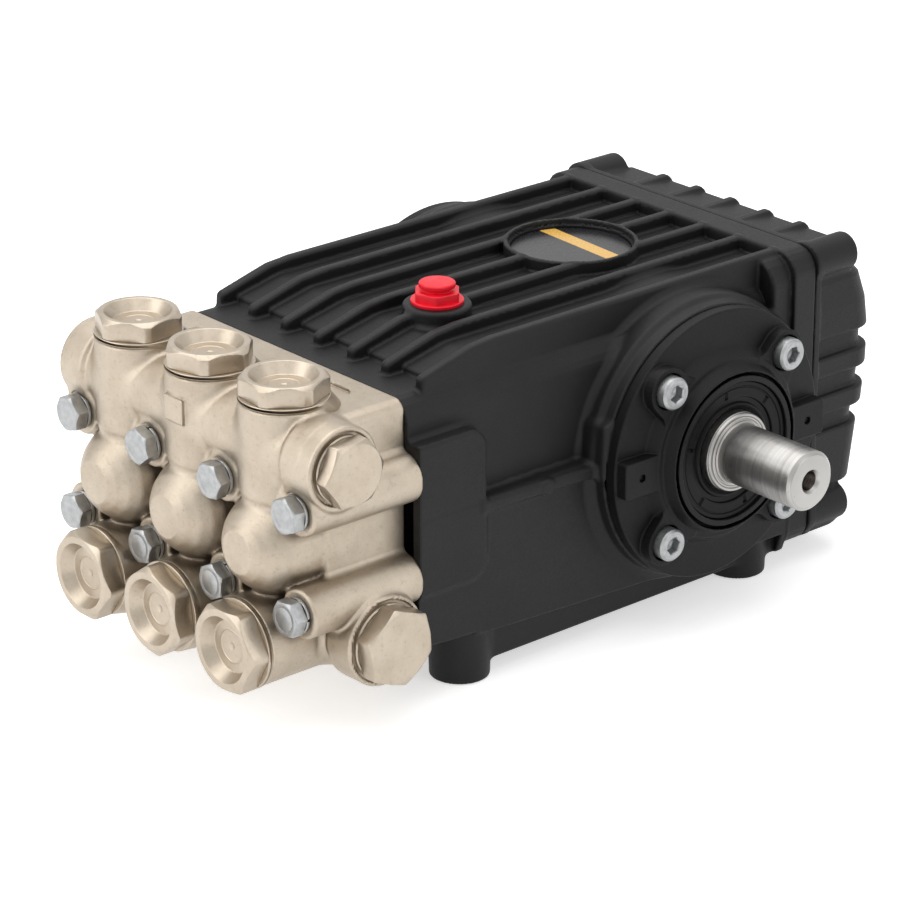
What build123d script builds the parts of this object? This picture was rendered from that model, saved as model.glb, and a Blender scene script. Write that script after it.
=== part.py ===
from build123d import *
import os
from math import sqrt

# Triplex plunger pump. Millimetres, +Z up, +X towards the drive shaft end,
# +Y towards the rear cover. Origin: centre of the four feet, on the floor.

# Shared fits
SLIP = 0.05
TOUCH = 0.02

# Pump axes
SHAFT_Y = 36.1
SHAFT_Z = 72.5
PLUNGER_PITCH = 43.6
PLUNGER_Z = 72.5
CYLINDER_XS = (-PLUNGER_PITCH, 0.0, PLUNGER_PITCH)

# Head bolts (M8, 13 mm across flats)
BOLT_XS = (-1.5 * PLUNGER_PITCH, -0.5 * PLUNGER_PITCH, 0.5 * PLUNGER_PITCH, 1.5 * PLUNGER_PITCH)
BOLT_ROWS = {"upper": 92.6, "lower": 52.1}
BOLT_SHANK_R = 4.0
BOLT_AF = 13.0
BOLT_HEAD_H = 5.3
BOLT_SEAT_Y = -158.0
WASHER_T = 1.7
WASHER_R = 7.0
BOLT_TIP_Y = -90.0
BOLT_BOSS_R = 9.8
BOLT_SPOT_R = 7.7
BOLT_TURNS = {"upper": (14, 40, 5, 22), "lower": (14, 13, 27, 6)}

# Crankcase
FRONT_Y = -106.5
REAR_Y = 100.5
FLANGE_FRONT_Y = 88.8
BEAD_Y = (79.0, 86.6)
BEAD_Z = (17.0, 132.6)
BEAD_HALF = 70.2
BEAD_CORNER = 11.0
BASE_Z = 6.5
DECK_Z = 121.9
RIB_TOP_Z = 133.9
FLOOR_Z = 128.5
UPPER_HALF = 66.5
LOWER_HALF = 72.3
PLATE_HALF = 73.4
LEDGE_Z = (71.0, 76.0)
SHOULDER_R = 10.5
RIB_PITCH = 19.8
RIB_W = 4.6
RIB_FRONT_Y = -95.6
RIB_XS = [RIB_PITCH * k for k in range(-3, 4)]
PLATE_Y = (FRONT_Y, -73.4)
PLATE_Z = (45.3, 106.0)
SLOT_X = (58.0, 69.1)
SLOT_Z = (52.0, 101.0)
SLOT_DEPTH = 34.0

# Feet (M10 from below)
FOOT_X = 58.4
FOOT_Y = 74.2
FOOT_R = 11.7
FOOT_HOLE_R = 4.25
FOOT_HOLE_DEPTH = 18.0

# Oil filler and nameplate
FILLER_X = 20.6
FILLER_Y = -52.5
FILLER_BOSS_R = 13.2
FILLER_BOSS_Z = 135.0
FILLER_BORE_R = 8.0
FILLER_BORE_DEPTH = 11.0
RING_Y = 35.5
RING_R = 27.0
RING_INNER_R = 25.1
RING_LEDGE_Z = 131.9
RING_FLOOR_Z = 129.8
PLATE_R = 24.3
PLATE_T = 0.7

# Bearing covers and shaft
BOSS_R = 55.3
BOSS_FLARE = 2.2
BOSS_X = 79.0
COVER_R = 54.5
COVER_RIM_X = 84.0
HUB_R = 32.4
HUB_X = 94.0
HUB_GROOVE_R = (30.4, 31.7)
HUB_GROOVE_DEPTH = 2.4
HUB_FLAT_R = 36.5
HUB_FOOT_R = 40.0
SPIGOT_R = 46.0
SPIGOT_X = 71.0
SEAL_R = 28.0
SEAL_X = (84.0, 92.8)
JOURNAL_R = 16.0
JOURNAL_X = (-40.0, 96.0)
SHAFT_R = 12.0
SHAFT_END_X = 134.5
CENTRE_HOLE_R = 3.4
CENTRE_HOLE_DEPTH = 19.0
SCREW_OFFSET = 31.3
SCREW_PAD_X = 85.2
SCREW_HEAD_R = 6.5
SCREW_HEAD_H = 8.0
SCREW_AF = 6.0
SCREW_TIP_X = 62.0
LUG_R = 9.3
LUG_POCKET_R = 7.2
EAR_X = 89.2
EAR_Z = (64.5, 79.3)
EAR_REACH = (34.0, 53.6)

# Rear cover; sections give height, half width and rearmost y
COVER_HALF = 72.5
COVER_Z = (8.3, 133.9)
COVER_CORNER = 9.0
LIP_T = 3.6
PLAN_CORNER = 12.0
CORE_SECTIONS = ((12.0, 68.5, 125.0), (21.0, 68.7, 127.6), (54.0, 69.4, 132.8), (77.0, 69.6, 136.4),
                 (94.0, 69.6, 136.6), (106.0, 69.6, 134.8), (117.0, 69.0, 130.8), (131.4, 68.6, 128.2))
BAND_SECTIONS = (((10.5, 70.2, 126.5), (21.0, 70.8, 129.6)),
                 ((29.0, 71.0, 131.6), (54.0, 71.5, 135.0)),
                 ((61.0, 71.6, 137.0), (69.4, 71.8, 137.8)),
                 ((77.2, 71.8, 138.6), (85.8, 71.8, 138.9)),
                 ((93.6, 71.8, 138.9), (106.0, 71.8, 137.0), (116.9, 71.2, 133.3), (121.0, 70.4, 129.2)))
TOP_SLOPE = ((REAR_Y, 131.5), (126.6, 129.2))
COVER_RIB_TOP_Z = 131.4
CORNER_X = 66.0
CORNER_ZS = (19.5, 127.0)
CORNER_R = 7.8
CORNER_END_Y = 123.0
CORNER_HEAD_DROP = 6.2
CORNER_SCREW_R = 3.0
CORNER_SCREW_TIP_Y = 89.6

GLASS_Z = 62.0
GLASS_SEAT_Y = 136.2
GLASS_R = 14.0
GLASS_BORE_R = 11.0
DRAIN_Z = 36.0
DRAIN_SEAT_Y = 131.4
DRAIN_BORE_R = 8.0

# Manifold
HEAD_HALF = 64.4
HEAD_TOP_Z = 122.0
HEAD_FRONT_Y = -144.0
CHIMNEY_Y = -145.7
CHIMNEY_R = 17.0
CHIMNEY_TOP_Z = 127.0
OUTLET_Z = 109.6
OUTLET_R = 14.7
OUTLET_SEAT_X = 75.5
OUTLET_RING_R = 16.2
OUTLET_RINGS = ((-60.0, -71.8, -73.4), (60.0, OUTLET_SEAT_X, 77.2))
OUTLET_SPOT_R = 14.2
INLET_Y = -126.5
INLET_Z = 35.9
INLET_R = 16.4
INLET_END_R = 17.8
INLET_END_X = 77.5
INLET_SEAT_X = 76.4
INLET_SPOT_R = 16.2
TUBE_R = 17.4
TUBE_END_Y = -166.8
DOME_R = 20.0
DOME_FLAT_R = 8.3
DOME_FLAT_Y = -169.1
DOME_BASE_Y = -150.0
PORT_R = 9.3
PORT_DEPTH = 22.0

# Valve caps and port plugs
OUTLET_CAP_AF = 30.6
OUTLET_CAP_TURNED_R = 16.9
OUTLET_CAP_COLLAR_R = 17.1
OUTLET_CAP_TOP = 136.6
OUTLET_CAP_TURNS = (35, 15, -6)
OUTLET_SPIGOT_R = 11.0
INLET_CAP_AF = 31.6
INLET_CAP_TURNED_R = 17.7
INLET_CAP_COLLAR_R = 17.7
INLET_CAP_FACE = -177.0
INLET_CAP_TURNS = (53, 38, 1)
INLET_SPIGOT_R = 12.0
CAP_COLLAR_H = 2.1
CAP_SPIGOT_L = 3.5
CAP_SOCKET_DEPTH = 4.2
CAP_DISH_R = 13.0
CAP_DISH_DEPTH = 4.4
PLUG_COLLAR = 0.8
PLUG_STEM_L = 12.0
OUTLET_PLUG_AF = 24.0
OUTLET_PLUG_X = (78.0, 84.4)
OUTLET_PLUG_TURN = 34.6
INLET_PLUG_AF = 28.0
INLET_PLUG_X = (78.4, 86.2)
INLET_PLUG_TURN = 9.3


def plane_y(y):
    """Sketch plane whose local axes are world X and Z, extruding towards -Y."""
    return Plane(origin=(0, y, 0), x_dir=(1, 0, 0), z_dir=(0, -1, 0))


def plane_x(x):
    """Sketch plane whose local axes are world Y and Z, extruding towards +X."""
    return Plane(origin=(x, 0, 0), x_dir=(0, 1, 0), z_dir=(1, 0, 0))


def cyl_x(radius, x0, x1, y, z):
    """Cylinder along X between x0 and x1."""
    return Pos((x0 + x1) / 2, y, z) * Rot(0, 90, 0) * Cylinder(radius, abs(x1 - x0))


def cyl_y(radius, y0, y1, x, z):
    """Cylinder along Y between y0 and y1."""
    return Pos(x, (y0 + y1) / 2, z) * Rot(90, 0, 0) * Cylinder(radius, abs(y1 - y0))


def cyl_z(radius, z0, z1, x, y):
    """Cylinder along Z between z0 and z1."""
    return Pos(x, y, (z0 + z1) / 2) * Cylinder(radius, abs(z1 - z0))


def block(x0, x1, y0, y1, z0, z1):
    """Box between two corners."""
    centre = Pos((x0 + x1) / 2, (y0 + y1) / 2, (z0 + z1) / 2)
    return centre * Box(abs(x1 - x0), abs(y1 - y0), abs(z1 - z0))


def prism_y(points, y0, y1, corner=0.0):
    """Polygon of (x, z) points, corners rounded, extruded from y0 to y1."""
    face = make_face(Polyline(*points, close=True))
    if corner:
        face = fillet(face.vertices(), corner)
    return extrude(plane_y(max(y0, y1)) * face, abs(y1 - y0))


def prism_x(points, x0, x1):
    """Polygon of (y, z) points extruded from x0 to x1."""
    face = make_face(Polyline(*points, close=True))
    return extrude(plane_x(min(x0, x1)) * face, abs(x1 - x0))


def turned_x(points, y, z):
    """Solid of revolution about an X axis through (y, z), from (x, radius) points."""
    plane = Plane(origin=(0, y, z), x_dir=(1, 0, 0), z_dir=(0, -1, 0))
    return revolve(plane * make_face(Polyline(*points, close=True)), Axis((0, y, z), (1, 0, 0)))


def turned_y(points, x, z):
    """Solid of revolution about a Y axis through (x, z), from (y, radius) points."""
    plane = Plane(origin=(x, 0, z), x_dir=(0, 1, 0), z_dir=(1, 0, 0))
    return revolve(plane * make_face(Polyline(*points, close=True)), Axis((x, 0, z), (0, 1, 0)))


def turned_z(points, x, y):
    """Solid of revolution about a Z axis through (x, y), from (radius, z) points."""
    plane = Plane(origin=(x, y, 0), x_dir=(1, 0, 0), z_dir=(0, -1, 0))
    return revolve(plane * make_face(Polyline(*points, close=True)), Axis((x, y, 0), (0, 0, 1)))


def hex_prism(across_flats, length, turned_r=0.0, turn=0.0):
    """Hexagonal prism along +Z, its crown chamfered and its corners turned to turned_r."""
    corner_r = across_flats / sqrt(3)
    outer_r = turned_r or corner_r
    crown_r = across_flats / 2 * 0.95
    prism = Rot(0, 0, turn) * extrude(RegularPolygon(corner_r, 6), length)
    drop = (outer_r - crown_r) * 0.6
    profile = [(0, 0), (outer_r, 0), (outer_r, length - drop), (crown_r, length), (0, length)]
    crown = revolve(Plane.XZ * make_face(Polyline(*profile, close=True)), Axis.Z)
    return prism & crown


def rounded_rect(half, z0, z1):
    """Corner points of a rectangle symmetric about x = 0."""
    return [(-half, z0), (half, z0), (half, z1), (-half, z1)]


def mirror_x(solid):
    """The same solid on the other side of x = 0."""
    return mirror(solid, Plane.YZ)


def case_section():
    """Cross-section of the crankcase shell as (x, z) points."""
    right = [(69.4, BASE_Z), (LOWER_HALF, 16.0), (LOWER_HALF, LEDGE_Z[1]),
             (UPPER_HALF, LEDGE_Z[1]), (UPPER_HALF, DECK_Z)]
    return right + [(-x, z) for x, z in reversed(right)]


def case_shell():
    """Main body, front to rear flange, with softened shoulders."""
    face = make_face(Polyline(*case_section(), close=True))
    shoulders = [v for v in face.vertices() if abs(v.Y - DECK_Z) < 0.1]
    face = fillet(shoulders, SHOULDER_R)
    bottoms = [v for v in face.vertices() if abs(v.Y - BASE_Z) < 0.1]
    face = fillet(bottoms, 3.0)
    return extrude(plane_y(FLANGE_FRONT_Y) * face, FLANGE_FRONT_Y - FRONT_Y)


def top_rib(x):
    """One cooling rib of the top, low at the front and level to the rear."""
    profile = [(RIB_FRONT_Y, DECK_Z - 3), (RIB_FRONT_Y + 0.6, 126.6), (-71.0, 133.0),
               (-60.0, RIB_TOP_Z), (FLANGE_FRONT_Y, RIB_TOP_Z), (FLANGE_FRONT_Y, DECK_Z - 3)]
    rib = prism_x(profile, x - RIB_W / 2, x + RIB_W / 2)
    edges = [e for e in rib.edges() if e.center().Z > 124 and e.center().Y < FLANGE_FRONT_Y - 1]
    return fillet(edges, 1.2)


def top_floor():
    """Raised floor between the ribs, ramping up behind the front deck."""
    profile = [(-88.0, DECK_Z - 3), (-88.0, 124.4), (-68.0, FLOOR_Z), (FLANGE_FRONT_Y, FLOOR_Z),
               (FLANGE_FRONT_Y, DECK_Z - 3)]
    return prism_x(profile, RIB_XS[0], RIB_XS[-1])


def side_relief():
    """Right-hand wall features: front plate, level ledge and the lug by the bearing boss."""
    plate = block(UPPER_HALF - 8, PLATE_HALF, *PLATE_Y, *PLATE_Z)
    plate = fillet([e for e in plate.edges().filter_by(Axis.X) if e.center().Y > PLATE_Y[0] + 1], 8.0)
    ledge_points = [(UPPER_HALF - 4, PLATE_Y[1]), (PLATE_HALF + 0.2, PLATE_Y[1]), (76.0, -15.5),
                    (76.0, 20.0), (UPPER_HALF - 4, 20.0)]
    ledge = extrude(Plane.XY.offset(LEDGE_Z[0]) * make_face(Polyline(*ledge_points, close=True)),
                    LEDGE_Z[1] - LEDGE_Z[0])
    lug = block(UPPER_HALF - 4, BOSS_X, -19.0, 0.0, LEDGE_Z[1] - 1, 92.0)
    pad = cyl_x(3.0, PLATE_HALF - 3, PLATE_HALF + 1.4, -43.7, 73.5)
    return plate + ledge + lug + pad


def side_bead():
    """Raised band in front of the rear flange, left out between the outer ribs."""
    band = prism_y(rounded_rect(BEAD_HALF, *BEAD_Z), *BEAD_Y, corner=BEAD_CORNER)
    return band - block(RIB_XS[0], RIB_XS[-1], BEAD_Y[0] - 1, BEAD_Y[1] + 1, DECK_Z, BEAD_Z[1] + 1)


def bearing_boss():
    """Round boss that carries a bearing cover, flaring into the wall."""
    profile = [(40.0, 0.0), (40.0, BOSS_R + BOSS_FLARE), (LOWER_HALF, BOSS_R + BOSS_FLARE),
               (LOWER_HALF + BOSS_FLARE, BOSS_R + 0.5), (BOSS_X, BOSS_R), (BOSS_X, 0.0)]
    return turned_x(profile, SHAFT_Y, SHAFT_Z)


def foot(sx, sy):
    """One drilled foot under the crankcase."""
    profile = [(0, 0), (FOOT_R - 0.5, 0), (FOOT_R, 0.5), (FOOT_R + 0.8, 24.0), (0, 24.0)]
    return turned_z(profile, sx * FOOT_X, sy * FOOT_Y)


def case_cavities():
    """All drilled and bored spaces of the crankcase."""
    cuts = []
    for x in BOLT_XS:
        for z in BOLT_ROWS.values():
            cuts.append(cyl_y(BOLT_SHANK_R + SLIP, FRONT_Y - 1, BOLT_TIP_Y, x, z))
    for side in (-1, 1):
        cuts.append(block(side * SLOT_X[0], side * SLOT_X[1], FRONT_Y - 1, FRONT_Y + SLOT_DEPTH,
                          *SLOT_Z))
        cuts.append(cyl_x(SPIGOT_R + SLIP, side * SPIGOT_X, side * (BOSS_X + 1), SHAFT_Y, SHAFT_Z))
        for dy in (-SCREW_OFFSET, SCREW_OFFSET):
            for dz in (-SCREW_OFFSET, SCREW_OFFSET):
                cuts.append(cyl_x(BOLT_SHANK_R + SLIP, side * (SCREW_TIP_X - 1), side * (BOSS_X + 1),
                                  SHAFT_Y + dy, SHAFT_Z + dz))
        for z in CORNER_ZS:
            tip_y = CORNER_SCREW_TIP_Y - 0.4
            cuts.append(cyl_y(CORNER_SCREW_R + SLIP, tip_y, REAR_Y + 1, side * CORNER_X, z))
        for sy in (-1, 1):
            cuts.append(cyl_z(FOOT_HOLE_R, -1, FOOT_HOLE_DEPTH, side * FOOT_X, sy * FOOT_Y))
    cuts.append(cyl_x(JOURNAL_R + SLIP, JOURNAL_X[0] - 1, BOSS_X + 1, SHAFT_Y, SHAFT_Z))
    cuts.append(cyl_z(FILLER_BORE_R + SLIP, FILLER_BOSS_Z - FILLER_BORE_DEPTH, FILLER_BOSS_Z + 1,
                      FILLER_X, FILLER_Y))
    cuts.append(cyl_z(RING_INNER_R, RING_LEDGE_Z, RIB_TOP_Z + 1, 0, RING_Y))
    cuts.append(cyl_z(PLATE_R, RING_FLOOR_Z, RIB_TOP_Z + 1, 0, RING_Y))
    return cuts


def crankcase():
    """Ribbed cast crankcase."""
    body = case_shell() + top_floor()
    for x in RIB_XS:
        body += top_rib(x)
    body += cyl_z(RING_R, DECK_Z, RIB_TOP_Z, 0, RING_Y)
    body += cyl_z(FILLER_BOSS_R, DECK_Z - 4, FILLER_BOSS_Z, FILLER_X, FILLER_Y)
    right = side_relief() + bearing_boss()
    body += right
    body += mirror_x(right)
    body += side_bead()
    body += prism_y(rounded_rect(COVER_HALF, *COVER_Z), FLANGE_FRONT_Y, REAR_Y, corner=COVER_CORNER)
    for side in (-1, 1):
        for sy in (-1, 1):
            body += foot(side, sy)
    return body - case_cavities()


def plan_section(z, half, rear_y):
    """Plan outline of the rear cover at height z, with its two rear corners rounded."""
    outline = rounded_rect(half, REAR_Y, rear_y)
    face = make_face(Polyline(*outline, close=True))
    face = fillet([v for v in face.vertices() if v.Y > REAR_Y + 1], PLAN_CORNER)
    return Plane.XY.offset(z) * face


def plan_loft(sections):
    """Solid through plan outlines given as (height, half width, rearmost y)."""
    return loft([plan_section(*section) for section in sections], ruled=True)


def cover_top_ribs():
    """Wedge ribs that continue the crankcase ribs and grow out of the sloping top."""
    profile = [(REAR_Y + 1, 118.0), (REAR_Y + 1, COVER_RIB_TOP_Z - 0.4), (125.8, COVER_RIB_TOP_Z),
               (127.6, COVER_RIB_TOP_Z - 1.6), (129.0, 118.0)]
    return [prism_x(profile, x - RIB_W / 2, x + RIB_W / 2) for x in RIB_XS[1:-1]]


def rear_cover():
    """Rear cover: lip, raised bands round its sides and back, corner bosses, top ribs."""
    body = plan_loft(CORE_SECTIONS)
    for sections in BAND_SECTIONS:
        body += plan_loft(sections)
    (y0, z0), (y1, z1) = TOP_SLOPE
    body -= prism_x([(y0, z0), (y1, z1), (y1 + 6, z1 - 7), (150, z1 - 7), (150, 150), (y0, 150)], -90, 90)
    for rib in cover_top_ribs():
        body += rib
    body += prism_y(rounded_rect(COVER_HALF, *COVER_Z), REAR_Y, REAR_Y + LIP_T, corner=COVER_CORNER)
    corners = [(side * CORNER_X, z) for side in (-1, 1) for z in CORNER_ZS]
    for x, z in corners:
        body += cyl_y(CORNER_R, REAR_Y, CORNER_END_Y, x, z)
    for x, z in corners:
        body -= cyl_y(CORNER_SCREW_R + SLIP, REAR_Y - 1, CORNER_END_Y + 1, x, z)
        body -= cyl_y(5.5, CORNER_END_Y - CORNER_HEAD_DROP, 150, x, z)
    body -= cyl_y(GLASS_BORE_R + SLIP, GLASS_SEAT_Y - 5, 150, 0, GLASS_Z)
    body -= cyl_y(GLASS_R + SLIP, GLASS_SEAT_Y, 150, 0, GLASS_Z)
    body -= cyl_y(DRAIN_BORE_R + SLIP, DRAIN_SEAT_Y - 6, 150, 0, DRAIN_Z)
    body -= cyl_y(DRAIN_BORE_R + 2.5, DRAIN_SEAT_Y, 150, 0, DRAIN_Z)
    return body


def screw_lug(dy, dz):
    """Raised lug of a bearing cover: a ring round one screw, running in to the hub flat."""
    reach = SCREW_OFFSET * sqrt(2)
    lower = [(HUB_R - 4, -LUG_R), (HUB_FLAT_R - 2, -LUG_R - 1.4), (reach, -LUG_R)]
    upper = [(u, -v) for u, v in reversed(lower)]
    wedge = make_face(Polyline(*lower, *upper, close=True))
    outline = wedge + Pos(reach, 0) * Circle(LUG_R)
    spoke = Plane(origin=(COVER_RIM_X - 2, SHAFT_Y, SHAFT_Z), x_dir=(0, dy, dz), z_dir=(1, 0, 0))
    return extrude(spoke * outline, EAR_X - COVER_RIM_X + 2)


def bearing_cover(bored):
    """Round bearing cover on the right; bored for the oil seal, or closed."""
    groove_x = HUB_X - HUB_GROOVE_DEPTH
    profile = [(SPIGOT_X + TOUCH, 0.0), (SPIGOT_X + TOUCH, SPIGOT_R), (BOSS_X, SPIGOT_R),
               (BOSS_X, COVER_R), (COVER_RIM_X - 1, COVER_R), (COVER_RIM_X, COVER_R - 1),
               (COVER_RIM_X + 0.8, HUB_FOOT_R), (EAR_X, HUB_FLAT_R), (EAR_X, HUB_R + 1.4),
               (EAR_X + 1.6, HUB_R), (HUB_X, HUB_R - 0.2), (HUB_X, HUB_GROOVE_R[1]),
               (groove_x, HUB_GROOVE_R[1]), (groove_x, HUB_GROOVE_R[0]), (HUB_X, HUB_GROOVE_R[0]),
               (HUB_X, 0.0)]
    cover = turned_x(profile, SHAFT_Y, SHAFT_Z)
    for side in (-1, 1):
        y0 = SHAFT_Y + side * EAR_REACH[0]
        y1 = SHAFT_Y + side * EAR_REACH[1]
        cover += block(COVER_RIM_X - 2, EAR_X, y0, y1, *EAR_Z)
    for dy in (-1, 1):
        for dz in (-1, 1):
            y = SHAFT_Y + dy * SCREW_OFFSET
            z = SHAFT_Z + dz * SCREW_OFFSET
            cover += screw_lug(dy, dz)
            cover -= cyl_x(LUG_POCKET_R, SCREW_PAD_X, HUB_X, y, z)
            cover -= cyl_x(BOLT_SHANK_R + 0.4, SPIGOT_X, HUB_X, y, z)
    if bored:
        cover -= cyl_x(SEAL_R, SEAL_X[0], HUB_X + 1, SHAFT_Y, SHAFT_Z)
        cover -= cyl_x(JOURNAL_R + 1.5, SPIGOT_X - 1, HUB_X, SHAFT_Y, SHAFT_Z)
    else:
        cover -= cyl_x(SEAL_R - 1, HUB_X - 2.0, HUB_X + 1, SHAFT_Y, SHAFT_Z)
    return cover


def oil_seal():
    """Shaft seal ring with a dished face."""
    x0, x1 = SEAL_X
    profile = [(x0, JOURNAL_R + 1.5), (x0, SEAL_R), (x1, SEAL_R), (x1, SEAL_R - 3),
               (x1 - 1.2, SEAL_R - 4.2),
               (x1 - 1.2, JOURNAL_R + 4), (x1 - 0.2, JOURNAL_R + 2.6), (x1 - 0.2, JOURNAL_R + SLIP),
               (x1 - 2.4, JOURNAL_R + SLIP), (x1 - 3.6, JOURNAL_R + 1.5)]
    return turned_x(profile, SHAFT_Y, SHAFT_Z)


def drive_shaft():
    """Drive shaft with its seal journal and a tapped centre hole."""
    profile = [(JOURNAL_X[0], 0.0), (JOURNAL_X[0], JOURNAL_R - 1), (JOURNAL_X[0] + 1, JOURNAL_R),
               (JOURNAL_X[1] - 0.6, JOURNAL_R), (JOURNAL_X[1], JOURNAL_R - 0.6), (JOURNAL_X[1], SHAFT_R),
               (SHAFT_END_X - 1.4, SHAFT_R), (SHAFT_END_X, SHAFT_R - 1.4), (SHAFT_END_X, 5.0),
               (SHAFT_END_X - 1.8, CENTRE_HOLE_R), (SHAFT_END_X - CENTRE_HOLE_DEPTH, CENTRE_HOLE_R),
               (SHAFT_END_X - CENTRE_HOLE_DEPTH - 1.6, 0.0)]
    return turned_x(profile, SHAFT_Y, SHAFT_Z)


def socket_screw(head_r, head_h, shank_r, shank_len, across_flats):
    """Socket head screw; head's underside at z = 0, shank towards -Z."""
    outline = [(0, 0), (head_r, 0), (head_r, head_h - 0.5), (head_r - 0.5, head_h), (0, head_h)]
    head = turned_z(outline, 0, 0)
    socket = Pos(0, 0, head_h * 0.5) * extrude(RegularPolygon(across_flats / sqrt(3), 6), head_h)
    return head + cyl_z(shank_r, -shank_len, 0, 0, 0) - socket


def bearing_screws(side):
    """Four socket screws of one bearing cover."""
    screws = []
    for dy in (-SCREW_OFFSET, SCREW_OFFSET):
        for dz in (-SCREW_OFFSET, SCREW_OFFSET):
            shank_len = SCREW_PAD_X - SCREW_TIP_X
            screw = socket_screw(SCREW_HEAD_R, SCREW_HEAD_H, BOLT_SHANK_R, shank_len, SCREW_AF)
            place = Pos(side * SCREW_PAD_X, SHAFT_Y + dy, SHAFT_Z + dz)
            screws.append(place * Rot(0, side * 90, 0) * screw)
    return Compound(children=screws)


def cover_screws():
    """Socket screws in the corner bosses of the rear cover."""
    seat = CORNER_END_Y - CORNER_HEAD_DROP
    screws = []
    for side in (-1, 1):
        for z in CORNER_ZS:
            screw = socket_screw(5.0, 6.0, CORNER_SCREW_R, seat - CORNER_SCREW_TIP_Y, 5.0)
            screws.append(Pos(side * CORNER_X, seat, z) * Rot(-90, 0, 0) * screw)
    return Compound(children=screws)


def dome(x):
    """Blind cylinder end: a bulging dome with a flat nose, on the plunger axis."""
    profile = [(-130.0, 0), (-130.0, DOME_R), (DOME_BASE_Y, DOME_R), (-155.0, 19.4), (-159.5, 17.8),
               (-163.6, 15.1), (-166.9, 11.7), (DOME_FLAT_Y, DOME_FLAT_R), (DOME_FLAT_Y, 0)]
    return turned_y(profile, x, PLUNGER_Z)


def chimney(x):
    """Vertical outlet valve barrel with a rounded foot."""
    profile = [(0, 84.0), (9.0, 85.2), (14.0, 88.2), (CHIMNEY_R, 94.0), (CHIMNEY_R, CHIMNEY_TOP_Z - 0.8),
               (CHIMNEY_R - 0.8, CHIMNEY_TOP_Z), (0, CHIMNEY_TOP_Z)]
    return turned_z(profile, x, CHIMNEY_Y)


def manifold():
    """Forged pump head: three barrels over three domes over three inlet tubes."""
    body = block(-HEAD_HALF, HEAD_HALF, HEAD_FRONT_Y, FRONT_Y, 44.0, HEAD_TOP_Z)
    long_edges = [e for e in body.edges().filter_by(Axis.Y) if e.center().Z > 100]
    body = fillet(long_edges, 5.0)
    body += cyl_x(OUTLET_R, OUTLET_RINGS[0][1], OUTLET_RINGS[1][1], CHIMNEY_Y, OUTLET_Z)
    body += cyl_x(INLET_R, -INLET_END_X, INLET_END_X, INLET_Y, INLET_Z)
    body += block(-HEAD_HALF, HEAD_HALF, INLET_Y, FRONT_Y, 24.0, 60.0)
    body += block(-HEAD_HALF, HEAD_HALF, -138.0, INLET_Y, INLET_Z, 60.0)
    for start_x, _, end_x in OUTLET_RINGS:
        body += cyl_x(OUTLET_RING_R, start_x, end_x, CHIMNEY_Y, OUTLET_Z)
    for side in (-1, 1):
        body += cyl_x(INLET_END_R, side * 66.0, side * INLET_END_X, INLET_Y, INLET_Z)
    for x in CYLINDER_XS:
        body += chimney(x)
        body += dome(x)
        body += cyl_y(TUBE_R, TUBE_END_Y, INLET_Y, x, INLET_Z)
    for x in BOLT_XS:
        for z in BOLT_ROWS.values():
            body += cyl_y(BOLT_BOSS_R, BOLT_SEAT_Y, FRONT_Y, x, z)
    body += block(-5.4, 5.4, -163.0, -155.0, 108.9, 118.9)
    for x in BOLT_XS:
        for z in BOLT_ROWS.values():
            body -= cyl_y(BOLT_SHANK_R + 0.4, BOLT_SEAT_Y - 1, FRONT_Y + 1, x, z)
            body -= cyl_y(BOLT_SPOT_R, BOLT_SEAT_Y - 8, BOLT_SEAT_Y, x, z)
    for x in CYLINDER_XS:
        socket_z = CHIMNEY_TOP_Z - CAP_SOCKET_DEPTH
        body -= cyl_z(OUTLET_SPIGOT_R + SLIP, socket_z, CHIMNEY_TOP_Z + 1, x, CHIMNEY_Y)
        body -= cyl_y(INLET_SPIGOT_R + SLIP, TUBE_END_Y - 1, TUBE_END_Y + CAP_SOCKET_DEPTH, x, INLET_Z)
    for side in (-1, 1):
        body -= cyl_x(INLET_SPOT_R, side * INLET_SEAT_X, side * 90, INLET_Y, INLET_Z)
        body -= cyl_x(PORT_R, side * (INLET_SEAT_X - PORT_DEPTH), side * 90, INLET_Y, INLET_Z)
    for start_x, seat_x, _ in OUTLET_RINGS:
        side = 1 if start_x > 0 else -1
        body -= cyl_x(OUTLET_SPOT_R, seat_x, side * 90, CHIMNEY_Y, OUTLET_Z)
        body -= cyl_x(PORT_R, seat_x - side * PORT_DEPTH, side * 90, CHIMNEY_Y, OUTLET_Z)
    return body


def valve_cap(across_flats, turned_r, collar_r, turn, height, spigot_r):
    """Hexagonal valve cap standing on z = 0: collar, dished hexagon, and a spigot below."""
    hexagon = Pos(0, 0, CAP_COLLAR_H) * hex_prism(across_flats, height - CAP_COLLAR_H, turned_r, turn)
    collar = cyl_z(collar_r, 0, CAP_COLLAR_H, 0, 0)
    floor = height - CAP_DISH_DEPTH
    dish = turned_z([(0, floor), (CAP_DISH_R - 2.8, floor), (CAP_DISH_R, height), (CAP_DISH_R, height + 1),
                     (0, height + 1)], 0, 0)
    return hexagon + collar + cyl_z(spigot_r, -CAP_SPIGOT_L, 0.5, 0, 0) - dish


def outlet_cap(x, turn):
    """Valve cap on one outlet barrel."""
    height = OUTLET_CAP_TOP - CHIMNEY_TOP_Z
    cap = valve_cap(OUTLET_CAP_AF, OUTLET_CAP_TURNED_R, OUTLET_CAP_COLLAR_R, turn, height,
                    OUTLET_SPIGOT_R)
    return Pos(x, CHIMNEY_Y, CHIMNEY_TOP_Z) * cap


def inlet_cap(x, turn):
    """Valve cap on one inlet tube."""
    height = TUBE_END_Y - INLET_CAP_FACE
    cap = valve_cap(INLET_CAP_AF, INLET_CAP_TURNED_R, INLET_CAP_COLLAR_R, turn, height,
                    INLET_SPIGOT_R)
    return Pos(x, TUBE_END_Y, INLET_Z) * Rot(90, 0, 0) * cap


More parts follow.
